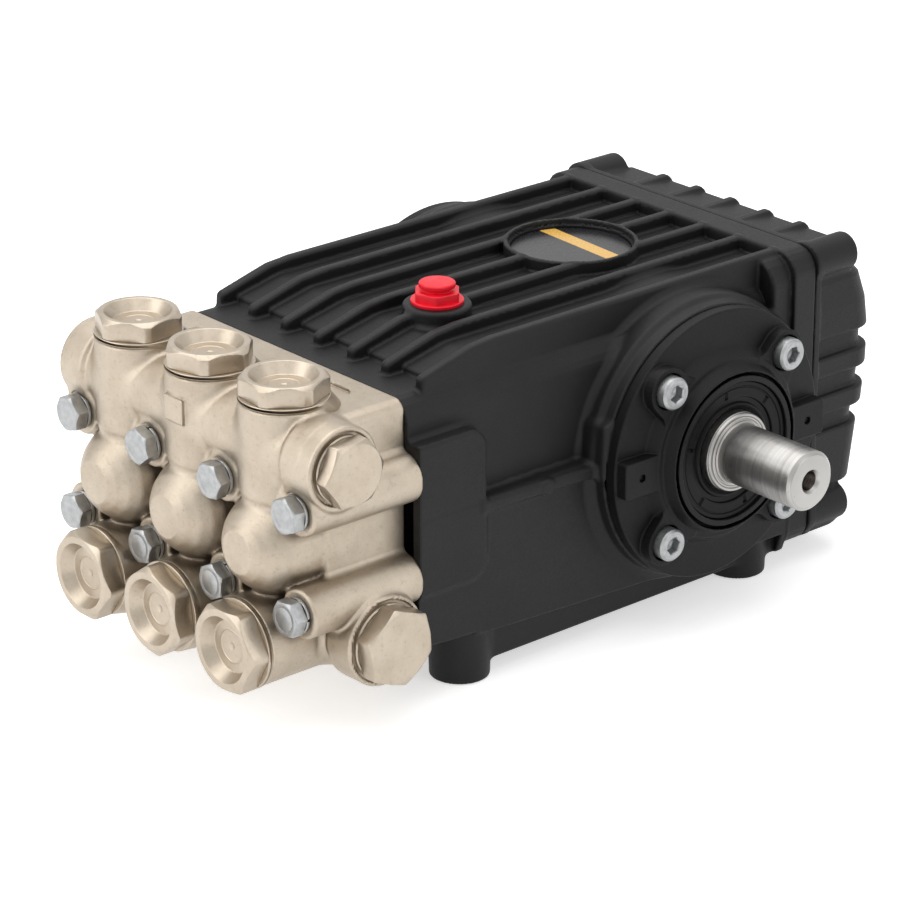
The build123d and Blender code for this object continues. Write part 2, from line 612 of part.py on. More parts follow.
def port_plug(seat_x, hex_x, y, z, across_flats, turn):
    """Hexagonal plug closing a right-hand port: stem, round collar, hexagon."""
    plug = Pos(0, 0, hex_x[0] - seat_x) * hex_prism(across_flats, hex_x[1] - hex_x[0], 0.0, turn)
    plug += cyl_z(across_flats / 2 + PLUG_COLLAR, 0, hex_x[0] - seat_x + 0.2, 0, 0)
    plug += cyl_z(PORT_R - TOUCH, -PLUG_STEM_L, 0.5, 0, 0)
    return Pos(seat_x, y, z) * Rot(0, 90, 0) * plug


def head_bolt(x, z, turn):
    """Hexagon head bolt holding the manifold to the crankcase."""
    seat = BOLT_SEAT_Y - WASHER_T
    head = hex_prism(BOLT_AF, BOLT_HEAD_H, 0.0, turn)
    shank = cyl_z(BOLT_SHANK_R, -(BOLT_TIP_Y - 1 - seat), 0, 0, 0)
    return Pos(x, seat, z) * Rot(90, 0, 0) * (head + shank)


def spring_washers():
    """Spring washers under the eight head bolts."""
    rings = []
    for x in BOLT_XS:
        for z in BOLT_ROWS.values():
            y0 = BOLT_SEAT_Y - WASHER_T
            ring = cyl_y(WASHER_R, y0, BOLT_SEAT_Y, x, z)
            rings.append(ring - cyl_y(BOLT_SHANK_R + SLIP, y0 - 1, BOLT_SEAT_Y + 1, x, z))
    return Compound(children=rings)


def oil_filler_cap():
    """Red plastic filler and breather cap."""
    z = FILLER_BOSS_Z
    flange = cyl_z(10.3, z, z + 1.5, 0, 0)
    hexagon = Pos(0, 0, z + 1.4) * extrude(RegularPolygon(16.6 / sqrt(3), 6), 3.6)
    knob = [(0, z + 4), (5.8, z + 4), (5.8, z + 6.2), (7.05, z + 6.6), (7.05, z + 7.7),
            (6.4, z + 8.2), (0, z + 8.2)]
    crown = turned_z(knob, 0, 0)
    stem = cyl_z(FILLER_BORE_R, z - 10, z + 0.5, 0, 0)
    return Pos(FILLER_X, FILLER_Y, 0) * (flange + hexagon + crown + stem)


def nameplate():
    """Thin round nameplate lying in the ring."""
    return cyl_z(PLATE_R - SLIP, RING_FLOOR_Z, RING_FLOOR_Z + PLATE_T, 0, RING_Y)


def sight_glass():
    """Oil level glass in the rear cover."""
    y = GLASS_SEAT_Y
    profile = [(y - 4.0, 0), (y - 4.0, GLASS_BORE_R), (y, GLASS_BORE_R), (y, GLASS_R), (y + 2.4, GLASS_R),
               (y + 3.8, GLASS_R - 1.4), (y + 3.8, 9.4), (y + 2.8, 9.0), (y + 2.8, 0)]
    return turned_y(profile, 0, GLASS_Z)


def drain_plug():
    """Oil drain plug in the rear cover."""
    plug = Pos(0, DRAIN_SEAT_Y, DRAIN_Z) * Rot(-90, 0, 0) * hex_prism(17.0, 6.0)
    return plug + cyl_y(DRAIN_BORE_R, DRAIN_SEAT_Y - 5.0, DRAIN_SEAT_Y + 0.5, 0, DRAIN_Z)


def build_nodes():
    """Every node of the pump, by name."""
    nodes = {
        "crankcase": crankcase(),
        "rear_cover": rear_cover(),
        "rear_cover_screws": cover_screws(),
        "sight_glass": sight_glass(),
        "drain_plug": drain_plug(),
        "right_bearing_cover": bearing_cover(True),
        "left_bearing_cover": mirror_x(bearing_cover(False)),
        "right_cover_screws": bearing_screws(1),
        "left_cover_screws": bearing_screws(-1),
        "oil_seal": oil_seal(),
        "drive_shaft": drive_shaft(),
        "manifold": manifold(),
        "outlet_plug": port_plug(OUTLET_SEAT_X, OUTLET_PLUG_X, CHIMNEY_Y, OUTLET_Z,
                                 OUTLET_PLUG_AF, OUTLET_PLUG_TURN),
        "inlet_plug": port_plug(INLET_SEAT_X, INLET_PLUG_X, INLET_Y, INLET_Z,
                                INLET_PLUG_AF, INLET_PLUG_TURN),
        "spring_washers": spring_washers(),
        "oil_filler_cap": oil_filler_cap(),
        "nameplate": nameplate(),
    }
    for number, x in enumerate(CYLINDER_XS, 1):
        nodes[f"outlet_cap_{number}"] = outlet_cap(x, OUTLET_CAP_TURNS[number - 1])
        nodes[f"inlet_cap_{number}"] = inlet_cap(x, INLET_CAP_TURNS[number - 1])
    for row, z in BOLT_ROWS.items():
        for number, x in enumerate(BOLT_XS, 1):
            nodes[f"{row}_head_bolt_{number}"] = head_bolt(x, z, BOLT_TURNS[row][number - 1])
    return nodes


os.makedirs("parts", exist_ok=True)
for name, solid in build_nodes().items():
    export_step(solid, f"parts/{name}.step")
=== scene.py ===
"""Looks of a triplex high-pressure plunger pump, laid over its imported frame.

Every length below is in millimetres in the pump's own frame: +X towards the drive
shaft end, +Y from the forged head to the rear cover, +Z up, origin on the floor in
the middle of the four feet. Meshes are handed to Blender in metres, and only the
camera, the lamps and the floor are given in metres here.

Castings are worked out as distance functions: the signed distance to each simple
shape is sampled on a grid, shapes are joined with round fillets, and the surface
where the distance is zero becomes the mesh. Turned and hexagonal pieces are rings
of points: a radius that may change with the angle, and a height for each ring.
"""
import logging
import math
from dataclasses import dataclass, field
from enum import Enum

import bpy
import numpy as np
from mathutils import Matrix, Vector


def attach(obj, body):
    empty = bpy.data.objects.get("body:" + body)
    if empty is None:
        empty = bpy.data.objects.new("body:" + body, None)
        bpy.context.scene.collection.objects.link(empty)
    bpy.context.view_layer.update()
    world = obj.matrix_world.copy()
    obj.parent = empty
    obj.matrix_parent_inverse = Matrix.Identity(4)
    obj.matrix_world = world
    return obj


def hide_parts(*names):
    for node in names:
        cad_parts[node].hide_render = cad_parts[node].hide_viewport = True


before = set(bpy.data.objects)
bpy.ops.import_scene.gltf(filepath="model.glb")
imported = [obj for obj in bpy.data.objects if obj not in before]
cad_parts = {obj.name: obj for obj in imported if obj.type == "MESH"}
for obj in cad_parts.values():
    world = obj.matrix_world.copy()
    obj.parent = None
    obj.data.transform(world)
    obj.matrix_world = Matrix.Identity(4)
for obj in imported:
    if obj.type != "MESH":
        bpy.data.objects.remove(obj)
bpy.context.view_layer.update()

LOG = logging.getLogger("pump")
METRE = 0.001
ROUND = 216
FAR = 40.0

Array = np.ndarray
Pair = tuple[float, float]
Triple = tuple[float, float, float]


class Axis(Enum):
    """Direction that a turned or extruded shape runs along."""

    X = 0
    Y = 1
    Z = 2

    def across(self) -> tuple[int, int]:
        """The two other directions, in X, Y, Z order."""
        return tuple(i for i in range(3) if i != self.value)


class Body(Enum):
    """Moving bodies of the frame."""

    HOUSING = "housing"
    SHAFT = "shaft"


class Slot(Enum):
    """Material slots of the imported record."""

    CASTING = "black_casting"
    FORGING = "nickel_plated_brass"
    ZINC = "zinc_steel"
    SHAFT = "shaft_steel"
    RUBBER = "seal_rubber"
    PLASTIC = "red_plastic"
    PLATE = "nameplate"
    GLASS = "sight_glass"


# Distance functions

def join(a: Array, b: Array, fillet: float) -> Array:
    """Distance to two shapes together, with a circular fillet where they meet.

    Formula: the smaller distance, less the length by which both distances fall
    short of the fillet radius.

    Args:
        a: Distance to the first shape.
        b: Distance to the second shape.
        fillet: Radius of the inner corner.

    Returns:
        Distance to the union.
    """
    if fillet <= 0:
        return np.minimum(a, b)
    u = np.maximum(fillet - a, 0)
    v = np.maximum(fillet - b, 0)
    return np.maximum(fillet, np.minimum(a, b)) - np.sqrt(u * u + v * v)


def meet(a: Array, b: Array, edge: float) -> Array:
    """Distance to what two shapes share, its outer edge rounded to a radius."""
    return -join(-a, -b, edge)


def outline_distance(u: Array, v: Array, outline: Array) -> Array:
    """Signed distance in a plane to a closed polygon.

    Formula: the least distance to any side, negative where a ray crosses an odd
    number of sides.

    Args:
        u: First coordinate of the points.
        v: Second coordinate of the points.
        outline: Corner points, one row each.

    Returns:
        Distance, negative inside.
    """
    best = np.full(np.broadcast(u, v).shape, 1e9, dtype=np.float32)
    outside = np.ones(best.shape, dtype=bool)
    for (ax, ay), (bx, by) in zip(outline, np.roll(outline, 1, axis=0)):
        ex, ey = bx - ax, by - ay
        wx, wy = u - ax, v - ay
        along = np.clip((wx * ex + wy * ey) / (ex * ex + ey * ey), 0, 1)
        dx, dy = wx - ex * along, wy - ey * along
        best = np.minimum(best, dx * dx + dy * dy)
        above, below = v >= ay, v < by
        left = ex * wy > ey * wx
        outside ^= (above & below & left) | (~above & ~below & ~left)
    return np.where(outside, 1.0, -1.0) * np.sqrt(best)


def rounded(corners: list[Pair], radii: float | list[float], steps: int = 6) -> Array:
    """Polygon whose corners are replaced by arcs.

    Formula: each corner is cut back by radius / tan(half angle) along both sides
    and a circular arc joins the two ends.

    Args:
        corners: Corner points in order.
        radii: One radius for all the corners, or one each.
        steps: Parts of each arc.

    Returns:
        Points of the rounded polygon, one row each.
    """
    points = np.asarray(corners, dtype=float)
    sizes = np.broadcast_to(radii, len(points))
    out = []
    for here, before, after, radius in zip(points, np.roll(points, 1, 0), np.roll(points, -1, 0), sizes):
        if radius <= 0:
            out.append(here[None])
            continue
        a, b = before - here, after - here
        a, b = a / np.linalg.norm(a), b / np.linalg.norm(b)
        half = math.acos(float(np.clip(a @ b, -1, 1))) / 2
        back = radius / math.tan(half)
        middle = here + (a + b) / np.linalg.norm(a + b) * radius / math.sin(half)
        start, end = here + a * back - middle, here + b * back - middle
        share = np.linspace(0, 1, steps + 1)[:, None]
        arc = start * (1 - share) + end * share
        out.append(middle + arc / np.linalg.norm(arc, axis=1)[:, None] * radius)
    return np.concatenate(out)


def oblong(u: Pair, v: Pair, radius: float) -> Array:
    """Rounded rectangle between two pairs of limits."""
    return rounded([(u[0], v[0]), (u[1], v[0]), (u[1], v[1]), (u[0], v[1])], radius)


def radial(axis: Axis, centre: Pair, p: list[Array]) -> Array:
    """Distance of points from a line along an axis."""
    i, j = axis.across()
    return np.sqrt((p[i] - centre[0]) ** 2 + (p[j] - centre[1]) ** 2)


def beyond(along: Array, ends: Pair) -> Array:
    """Signed distance past the nearer of two ends."""
    lo, hi = ends
    return np.abs(along - (lo + hi) / 2) - (hi - lo) / 2


def spread(axis: Axis, low: Array, high: Array, ends: Pair) -> tuple[Array, Array]:
    """Corners of a box from its limits across and along an axis.

    Args:
        axis: Direction of the ends.
        low: Lower limits of the two other coordinates.
        high: Upper limits of the two other coordinates.
        ends: Limits along the axis.

    Returns:
        Lowest and highest corner.
    """
    order = [*axis.across(), axis.value]
    box = np.empty((2, 3))
    box[0, order], box[1, order] = [*low, ends[0]], [*high, ends[1]]
    return box[0], box[1]


class Shape:
    """A solid known by its distance function."""

    def distance(self, p: list[Array]) -> Array:
        """Signed distance from points given as three broadcastable arrays."""
        raise NotImplementedError

    def reach(self) -> tuple[Array, Array]:
        """Lowest and highest corner of the shape."""
        raise NotImplementedError


@dataclass(frozen=True)
class Slab(Shape):
    """Box with rounded edges, between two corners."""

    low: Triple
    high: Triple
    edge: float = 1.0

    def distance(self, p: list[Array]) -> Array:
        """Formula: length of the positive parts of |p - centre| - half + edge, less edge.

        Args:
            p: Coordinates, three arrays that broadcast.

        Returns:
            Signed distance, negative inside.
        """
        q = [np.abs(c - (a + b) / 2) - ((b - a) / 2 - self.edge) for c, a, b in zip(p, self.low, self.high)]
        out = np.sqrt(sum(np.maximum(c, 0) ** 2 for c in q))
        return out + np.minimum(np.maximum(np.maximum(q[0], q[1]), q[2]), 0) - self.edge

    def reach(self) -> tuple[Array, Array]:
        """The two corners."""
        return np.array(self.low, float), np.array(self.high, float)


@dataclass(frozen=True)
class Barrel(Shape):
    """Cylinder along an axis with rounded rims."""

    axis: Axis
    centre: Pair
    ends: Pair
    radius: float
    edge: float = 1.0

    def distance(self, p: list[Array]) -> Array:
        """Formula: the radial and the axial distance met with a rounded rim."""
        wall = radial(self.axis, self.centre, p) - self.radius
        return meet(wall, beyond(p[self.axis.value], self.ends), self.edge)

    def reach(self) -> tuple[Array, Array]:
        """Corners of the box round the cylinder."""
        middle = np.array(self.centre)
        return spread(self.axis, middle - self.radius, middle + self.radius, self.ends)


@dataclass(frozen=True)
class Turning(Shape):
    """Solid of revolution from a polygon of (along, radius) points."""

    axis: Axis
    centre: Pair
    outline: Array

    def distance(self, p: list[Array]) -> Array:
        """Formula: polygon distance in the plane of (along, radius)."""
        return outline_distance(p[self.axis.value], radial(self.axis, self.centre, p), self.outline)

    def reach(self) -> tuple[Array, Array]:
        """Corners of the box round the turned solid.

        Returns:
            Lowest and highest corner.
        """
        along, size = self.outline[:, 0], self.outline[:, 1].max()
        middle = np.array(self.centre)
        return spread(self.axis, middle - size, middle + size, (along.min(), along.max()))


@dataclass(frozen=True)
class Prism(Shape):
    """Polygon of the two across coordinates, extruded along an axis."""

    axis: Axis
    outline: Array
    ends: Pair
    edge: float = 1.0

    def distance(self, p: list[Array]) -> Array:
        """Formula: polygon distance met with the slab between the ends, rim rounded.

        Args:
            p: Coordinates, three arrays that broadcast.

        Returns:
            Signed distance, negative inside.
        """
        i, j = self.axis.across()
        flat = outline_distance(p[i], p[j], self.outline)
        return meet(flat, beyond(p[self.axis.value], self.ends), self.edge)

    def reach(self) -> tuple[Array, Array]:
        """Corners of the box round the prism."""
        return spread(self.axis, self.outline.min(axis=0), self.outline.max(axis=0), self.ends)


@dataclass(frozen=True)
class PlanLoft(Shape):
    """Upright shell whose half width and rear change with height."""

    sections: tuple[Triple, ...]
    front: float
    corner: float
    edge: float = 1.5

    def distance(self, p: list[Array]) -> Array:
        """Formula: rounded rectangle in plan, its sizes read off at each height.

        Args:
            p: Coordinates, three arrays that broadcast.

        Returns:
            Signed distance, negative inside.
        """
        heights = [s[0] for s in self.sections]
        half = np.interp(p[2], heights, [s[1] for s in self.sections]) - self.corner
        rear = np.interp(p[2], heights, [s[2] for s in self.sections])
        mid, deep = (rear + self.front - 20) / 2, (rear - self.front + 20) / 2 - self.corner
        qx, qy = np.abs(p[0]) - half, np.abs(p[1] - mid) - deep
        plan = np.sqrt(np.maximum(qx, 0) ** 2 + np.maximum(qy, 0) ** 2) + np.minimum(np.maximum(qx, qy), 0)
        up = beyond(p[2], (heights[0], heights[-1]))
        return np.maximum(meet(plan - self.corner, up, self.edge), self.front - p[1])

    def reach(self) -> tuple[Array, Array]:
        """Corners of the box round the loft.

        Returns:
            Lowest and highest corner.
        """
        half = max(s[1] for s in self.sections)
        low = np.array([-half, self.front, self.sections[0][0]])
        return low, np.array([half, max(s[2] for s in self.sections), self.sections[-1][0]])


@dataclass(frozen=True)
class Flipped(Shape):
    """Another shape on the other side of x = 0."""

    shape: Shape

    def distance(self, p: list[Array]) -> Array:
        """Formula: the shape's own distance at minus x."""
        return self.shape.distance([-p[0], p[1], p[2]])

    def reach(self) -> tuple[Array, Array]:
        """Mirrored corners of the box."""
        low, high = self.shape.reach()
        return np.array([-high[0], *low[1:]]), np.array([-low[0], *high[1:]])


@dataclass(frozen=True)
class Step:
    """One shape added to or cut from a casting."""

    shape: Shape
    radius: float
    cut: bool

    def apply(self, now: Array, p: list[Array]) -> Array:
        """Distance after this step.

        Args:
            now: Distance before it.
            p: Coordinates, three arrays that broadcast.

        Returns:
            Signed distance, negative inside.
        """
        new = self.shape.distance(p)
        if self.cut:
            return meet(now, -new, self.radius)
        return join(now, new, self.radius)

    def box(self) -> tuple[Array, Array]:
        """Box outside which the step changes nothing that shows.

        Returns:
            Lowest and highest corner.
        """
        low, high = self.shape.reach()
        margin = self.radius + 3.0
        return low - margin, high + margin


@dataclass
class Casting:
    """A solid put together from shapes, and its mesh."""

    voxel: float
    triangles: int
    steps: list[Step] = field(default_factory=list)

    def add(self, shape: Shape, fillet: float = 1.5, both: bool = False) -> None:
        """Joins a shape, on both sides of x = 0 where asked.

        Args:
            shape: The shape.
            fillet: Radius where it meets the rest.
            both: Adds its mirror image too.
        """
        self.steps.append(Step(shape, fillet, False))
        if both:
            self.steps.append(Step(Flipped(shape), fillet, False))

    def cut(self, shape: Shape, edge: float = 0.5, both: bool = False) -> None:
        """Cuts a shape away, on both sides of x = 0 where asked.

        Args:
            shape: The shape.
            edge: Radius of the rim that the cut leaves.
            both: Cuts its mirror image too.
        """
        self.steps.append(Step(shape, edge, True))
        if both:
            self.steps.append(Step(Flipped(shape), edge, True))

    def distance(self, points: Array) -> Array:
        """Signed distance from scattered points, one row each.

        Args:
            points: Points, one row each.

        Returns:
            Distances, held at FAR away from every shape.
        """
        now = np.full(len(points), FAR, dtype=np.float32)
        for step in self.steps:
            low, high = step.box()
            near = np.all((points >= low) & (points <= high), axis=1)
            if near.any():
                p = [points[near, k] for k in range(3)]
                now[near] = step.apply(now[near], p)
        return now

    def sample(self) -> tuple[Array, Array, float]:
        """Distance on a regular grid.

        Returns:
            The samples, the grid's first corner, and its pitch.
        """
        pitch = self.voxel * 1.0
        boxes = [step.shape.reach() for step in self.steps if not step.cut]
        low = np.min([b[0] for b in boxes], axis=0) - 2.2 * pitch
        high = np.max([b[1] for b in boxes], axis=0) + 2.2 * pitch
        count = np.ceil((high - low) / pitch).astype(int) + 1
        lines = [(low[k] + pitch * np.arange(count[k])).astype(np.float32) for k in range(3)]
        now = np.full(count, FAR, dtype=np.float32)
        for step in self.steps:
            a, b = step.box()
            cut = [slice(*np.searchsorted(lines[k], (a[k], b[k]))) for k in range(3)]
            p = list(np.ix_(*(lines[k][cut[k]] for k in range(3))))
            now[tuple(cut)] = step.apply(now[tuple(cut)], p)
        return now, low, pitch

    def slope(self, points: Array) -> Array:
        """Gradient of the distance.

        Formula: central differences over a short gap along each axis.

        Args:
            points: Points, one row each.

        Returns:
            Gradients, one row each.
        """
        gap = 0.12
        parts = []
        for k in range(3):
            move = np.zeros(3)
            move[k] = gap
            parts.append((self.distance(points + move) - self.distance(points - move)) / (2 * gap))
        return np.stack(parts, axis=1)

    def settle(self, points: Array, rounds: int, limit: float) -> Array:
        """Moves points along the gradient on to the surface.

        Args:
            points: Points near the surface, one row each.
            rounds: How often they are moved.
            limit: Longest move of a round.

        Returns:
            Moved points.
        """
        for _ in range(rounds):
            g = self.slope(points)
            size = np.maximum((g * g).sum(axis=1), 0.2)
            move = (self.distance(points) / size)[:, None] * g
            length = np.maximum(np.linalg.norm(move, axis=1), 1e-9)
            points = points - move * np.minimum(1, limit / length)[:, None]
        return points


def surface_net(samples: Array, low: Array, pitch: float) -> tuple[Array, Array]:
    """Quads of the surface where the samples change sign.

    Formula: every grid cell that the surface passes through gets one point, the
    mean of where the surface cuts its edges; every grid edge that changes sign
    gets one quad through the four cells round it.

    Args:
        samples: Signed distance on the grid.
        low: First corner of the grid.
        pitch: Grid pitch.

    Returns:
        Points and quads.
    """
    inside = samples < 0
    count = np.zeros(tuple(n - 1 for n in samples.shape), dtype=np.int8)
    corners = [(i, j, k) for i in (0, 1) for j in (0, 1) for k in (0, 1)]
    shape = count.shape
    for i, j, k in corners:
        count += inside[i:i + shape[0], j:j + shape[1], k:k + shape[2]]
    cells = np.argwhere((count > 0) & (count < 8))
    number = np.full(shape, -1, dtype=np.int64)
    number[tuple(cells.T)] = np.arange(len(cells))
    total = np.zeros((len(cells), 3))
    hits = np.zeros(len(cells))
    for axis in range(3):
        for corner in (c for c in corners if c[axis] == 0):
            start = cells + corner
            end = start.copy()
            end[:, axis] += 1
            a, b = samples[tuple(start.T)], samples[tuple(end.T)]
            cross = (a < 0) != (b < 0)
            share = np.where(cross, a / np.where(cross, a - b, 1), 0)
            place = np.array(corner, float)[None].repeat(len(cells), 0)
            place[:, axis] += share
            total += place * cross[:, None]
            hits += cross
    points = low + pitch * (cells + total / hits[:, None])
    quads = []
    for axis in range(3):
        u, v = [k for k in range(3) if k != axis]
        first = [slice(None)] * 3
        second = [slice(None)] * 3
        first[axis], second[axis] = slice(None, -1), slice(1, None)
        a, b = inside[tuple(first)], inside[tuple(second)]
        edges = np.argwhere(a != b)
        edges = edges[(edges[:, u] > 0) & (edges[:, v] > 0)]
        edges = edges[(edges[:, u] < samples.shape[u] - 1) & (edges[:, v] < samples.shape[v] - 1)]
        ring = []
        for du, dv in ((1, 1), (0, 1), (0, 0), (1, 0)):
            cell = edges.copy()
            cell[:, u] -= du
            cell[:, v] -= dv
            ring.append(number[tuple(cell.T)])
        quad = np.stack(ring, axis=1)
        flip = a[tuple(edges.T)] == (axis == 1)
        quad[flip] = quad[flip][:, ::-1]
        quads.append(quad)
    return points, np.concatenate(quads)


def signed_volume(points: Array, faces: Array) -> float:
    """Volume inside a closed mesh, negative if its faces point inwards.

    Formula: a sixth of the triple product of the corners of each triangle, summed.

    Args:
        points: Points, one row each.
        faces: Triangles or quads.

    Returns:
        The volume.
    """
    a, b, c = points[faces[:, 0]], points[faces[:, 1]], points[faces[:, 2]]
    volume = np.einsum("ij,ij->i", a, np.cross(b, c)).sum()
    if faces.shape[1] == 4:
        d = points[faces[:, 3]]
        volume += np.einsum("ij,ij->i", a, np.cross(c, d)).sum()
    return float(volume) / 6


def raw_mesh(name: str, points: Array, groups: list[Array]) -> bpy.types.Mesh:
    """Blender mesh from millimetre points and groups of equal-sided faces.

    Args:
        name: Name of the mesh.
        points: Points, one row each.
        groups: Arrays of triangles or quads.

    Returns:
        The mesh, faces outwards and shaded smooth.
    """
    if sum(signed_volume(points, g) for g in groups) < 0:
        groups = [g[:, ::-1] for g in groups]
    mesh = bpy.data.meshes.new(name)
    mesh.vertices.add(len(points))
    mesh.vertices.foreach_set("co", (points * METRE).astype(np.float32).ravel())
    sides = np.concatenate([np.full(len(g), g.shape[1]) for g in groups])
    loops = np.concatenate([g.ravel() for g in groups])
    mesh.loops.add(len(loops))
    mesh.loops.foreach_set("vertex_index", loops.astype(np.int32))
    mesh.polygons.add(len(sides))
    starts = np.concatenate([[0], np.cumsum(sides)[:-1]])
    mesh.polygons.foreach_set("loop_start", starts.astype(np.int32))
    mesh.update(calc_edges=True)
    mesh.polygons.foreach_set("use_smooth", np.ones(len(sides), dtype=bool))
    mesh.validate()
    return mesh


def thinned(mesh: bpy.types.Mesh, triangles: int) -> bpy.types.Mesh:
    """The mesh with edges collapsed until it has about that many triangles.

    Args:
        mesh: Mesh of quads.
        triangles: Triangles to keep.

    Returns:
        The same mesh if it is small enough, or else a thinner one.
    """
    have = 2 * len(mesh.polygons)
    if have <= triangles:
        return mesh
    holder = bpy.data.objects.new("thinning", mesh)
    bpy.context.collection.objects.link(holder)
    modifier = holder.modifiers.new("thin", "DECIMATE")
    modifier.ratio = triangles / have
    graph = bpy.context.evaluated_depsgraph_get()
    thin = bpy.data.meshes.new_from_object(holder.evaluated_get(graph))
    bpy.data.objects.remove(holder)
    return thin


def cast_mesh(name: str, casting: Casting) -> bpy.types.Mesh:
    """Mesh of a casting with normals read from its distance function.

    A corner takes the surface normal at its point, unless the face is so large or
    so tilted there that this would shade a flat as if it were curved. Two values
    per point, one for seams and one for hollows, say how much of the space above it
    the solid fills: one less the distance at a point lifted along the normal, over
    that lift. The materials paint shade with them, darkening seams and hollows.

    Args:
        name: Name of the mesh.
        casting: The solid.

    Returns:
        The mesh.
    """
    samples, low, pitch = casting.sample()
    points, quads = surface_net(samples, low, pitch)
    points = casting.settle(points, 2, 0.5 * pitch)
    mesh = thinned(raw_mesh(name, points, [quads]), casting.triangles)
    size = len(mesh.vertices)
    flat = np.empty(size * 3, dtype=np.float32)
    mesh.vertices.foreach_get("co", flat)
    points = flat.reshape(-1, 3).astype(float) / METRE
    points = casting.settle(points, 1, 0.25 * pitch)
    mesh.vertices.foreach_set("co", (points * METRE).astype(np.float32).ravel())
    mesh.update()
    normals = casting.slope(points)
    normals /= np.maximum(np.linalg.norm(normals, axis=1), 1e-6)[:, None]
    index = np.empty(len(mesh.loops), dtype=np.int32)
    mesh.loops.foreach_get("vertex_index", index)
    sides = np.empty(len(mesh.polygons), dtype=np.int32)
    mesh.polygons.foreach_get("loop_total", sides)
    face = np.empty(len(mesh.polygons) * 3, dtype=np.float32)
    mesh.polygons.foreach_get("normal", face)
    area = np.empty(len(mesh.polygons), dtype=np.float32)
    mesh.polygons.foreach_get("area", area)
    face_at = np.repeat(face.reshape(-1, 3), sides, axis=0)
    area_at = np.repeat(area, sides) / METRE ** 2
    agree = np.einsum("ij,ij->i", normals[index], face_at)
    allowed = np.clip(42 / (1 + area_at / (1.5 * pitch * pitch)), 4, 30)
    corner = np.where((agree > np.cos(np.radians(allowed)))[:, None], normals[index], face_at)
    # Painted shade: how much of the space above each point the solid fills, kept per point so the materials
    # can darken seams and hollows.
    for key, gap in (("seam_shade", 1.3), ("hollow_shade", 5.0)):
        shade = np.clip(1 - casting.distance(points + normals * gap) / gap, 0, 1)
        mesh.attributes.new(key, "FLOAT", "POINT").data.foreach_set("value", shade.astype(np.float32))
    mesh.polygons.foreach_set("use_smooth", np.ones(len(sides), dtype=bool))
    mesh.normals_split_custom_set(corner.astype(np.float32))
    return mesh


# Rings: turned and hexagonal pieces

def angles() -> Array:
    """Angles of the points of a ring."""
    return np.linspace(0, 2 * np.pi, ROUND, endpoint=False)


def hexagon(across_flats: float, turned: float, turn: float = 0.0) -> Array:
    """Radius of a hexagon at each angle, its corners turned off to a radius.

    Formula: half the flats distance over the cosine of the angle from the nearest
    flat, held below the turned radius.

    Args:
        across_flats: Distance between opposite flats.
        turned: Radius that the corners are turned to.
        turn: Angle of one corner in degrees.

    Returns:
        Radii, one for each angle of a ring.
    """
    sector = np.mod(angles() - math.radians(turn), np.pi / 3) - np.pi / 6
    radius = np.minimum(across_flats / 2 / np.cos(sector), turned)
    return (np.roll(radius, 1) + 2 * radius + np.roll(radius, -1)) / 4


@dataclass
class Rings:
    """A closed surface of rings along an axis, from one pole to the other."""

    radii: list[Array] = field(default_factory=list)
    heights: list[Array] = field(default_factory=list)

    def ring(self, radius: float | Array, height: float | Array) -> None:
        """Adds one ring."""
        self.radii.append(np.broadcast_to(radius, ROUND).astype(float))
        self.heights.append(np.broadcast_to(height, ROUND).astype(float))

    def turned(self, outline: Array) -> None:
        """Adds a ring for each (radius, height) point of an outline."""
        for radius, height in outline:
            self.ring(float(radius), float(height))

    def solid(self, axis: Axis, origin: Triple, side: int = 1,
              loop: bool = False) -> tuple[Array, list[Array]]:
        """Points and faces of the surface, laid along an axis.

        Formula: ring point = (radius cos angle, radius sin angle, height); the first
        and last ring are poles, or the rings close to a loop round a hole.

        Args:
            axis: Direction that the rings follow each other in.
            origin: Where height zero on the axis goes.
            side: -1 to point the other way along the axis.
            loop: Joins the last ring to the first instead of closing both to poles.

        Returns:
            Points and groups of faces.
        """
        r, h = np.array(self.radii), np.array(self.heights)
        a = angles()
        body = np.stack([r * np.cos(a), r * np.sin(a), h], axis=-1)
        if loop:
            grid = np.arange(body.shape[0] * ROUND).reshape(-1, ROUND)
            grid = np.concatenate([grid, grid[:1]])
            points = body.reshape(-1, 3)
            caps = []
        else:
            rows = len(r) - 2
            grid = np.arange(rows * ROUND).reshape(rows, ROUND)
            poles = np.array([[0, 0, h[0, 0]], [0, 0, h[-1, 0]]])
            points = np.concatenate([body[1:-1].reshape(-1, 3), poles])
            low = np.stack([np.roll(grid[0], -1), grid[0], np.full(ROUND, rows * ROUND)], axis=1)
            high = np.stack([grid[-1], np.roll(grid[-1], -1), np.full(ROUND, rows * ROUND + 1)], axis=1)
            caps = [low, high]
        beside = np.roll(grid, -1, axis=1)
        quads = np.stack([grid[:-1], beside[:-1], beside[1:], grid[1:]], axis=-1).reshape(-1, 4)
        return placed(points, axis, origin, side), [quads, *caps]


def merged(parts: list[tuple[Array, list[Array]]]) -> tuple[Array, list[Array]]:
    """Points and faces of several surfaces as one.

    Formula: the point numbers of each surface are raised by the points before it.

    Args:
        parts: Points and groups of faces of each surface.

    Returns:
        Points and groups of faces.
    """
    starts = np.cumsum([0] + [len(points) for points, _ in parts])
    moved = [[faces + start for faces in groups] for (_, groups), start in zip(parts, starts)]
    points = np.concatenate([points for points, _ in parts])
    return points, [np.concatenate(groups) for groups in zip(*moved)]


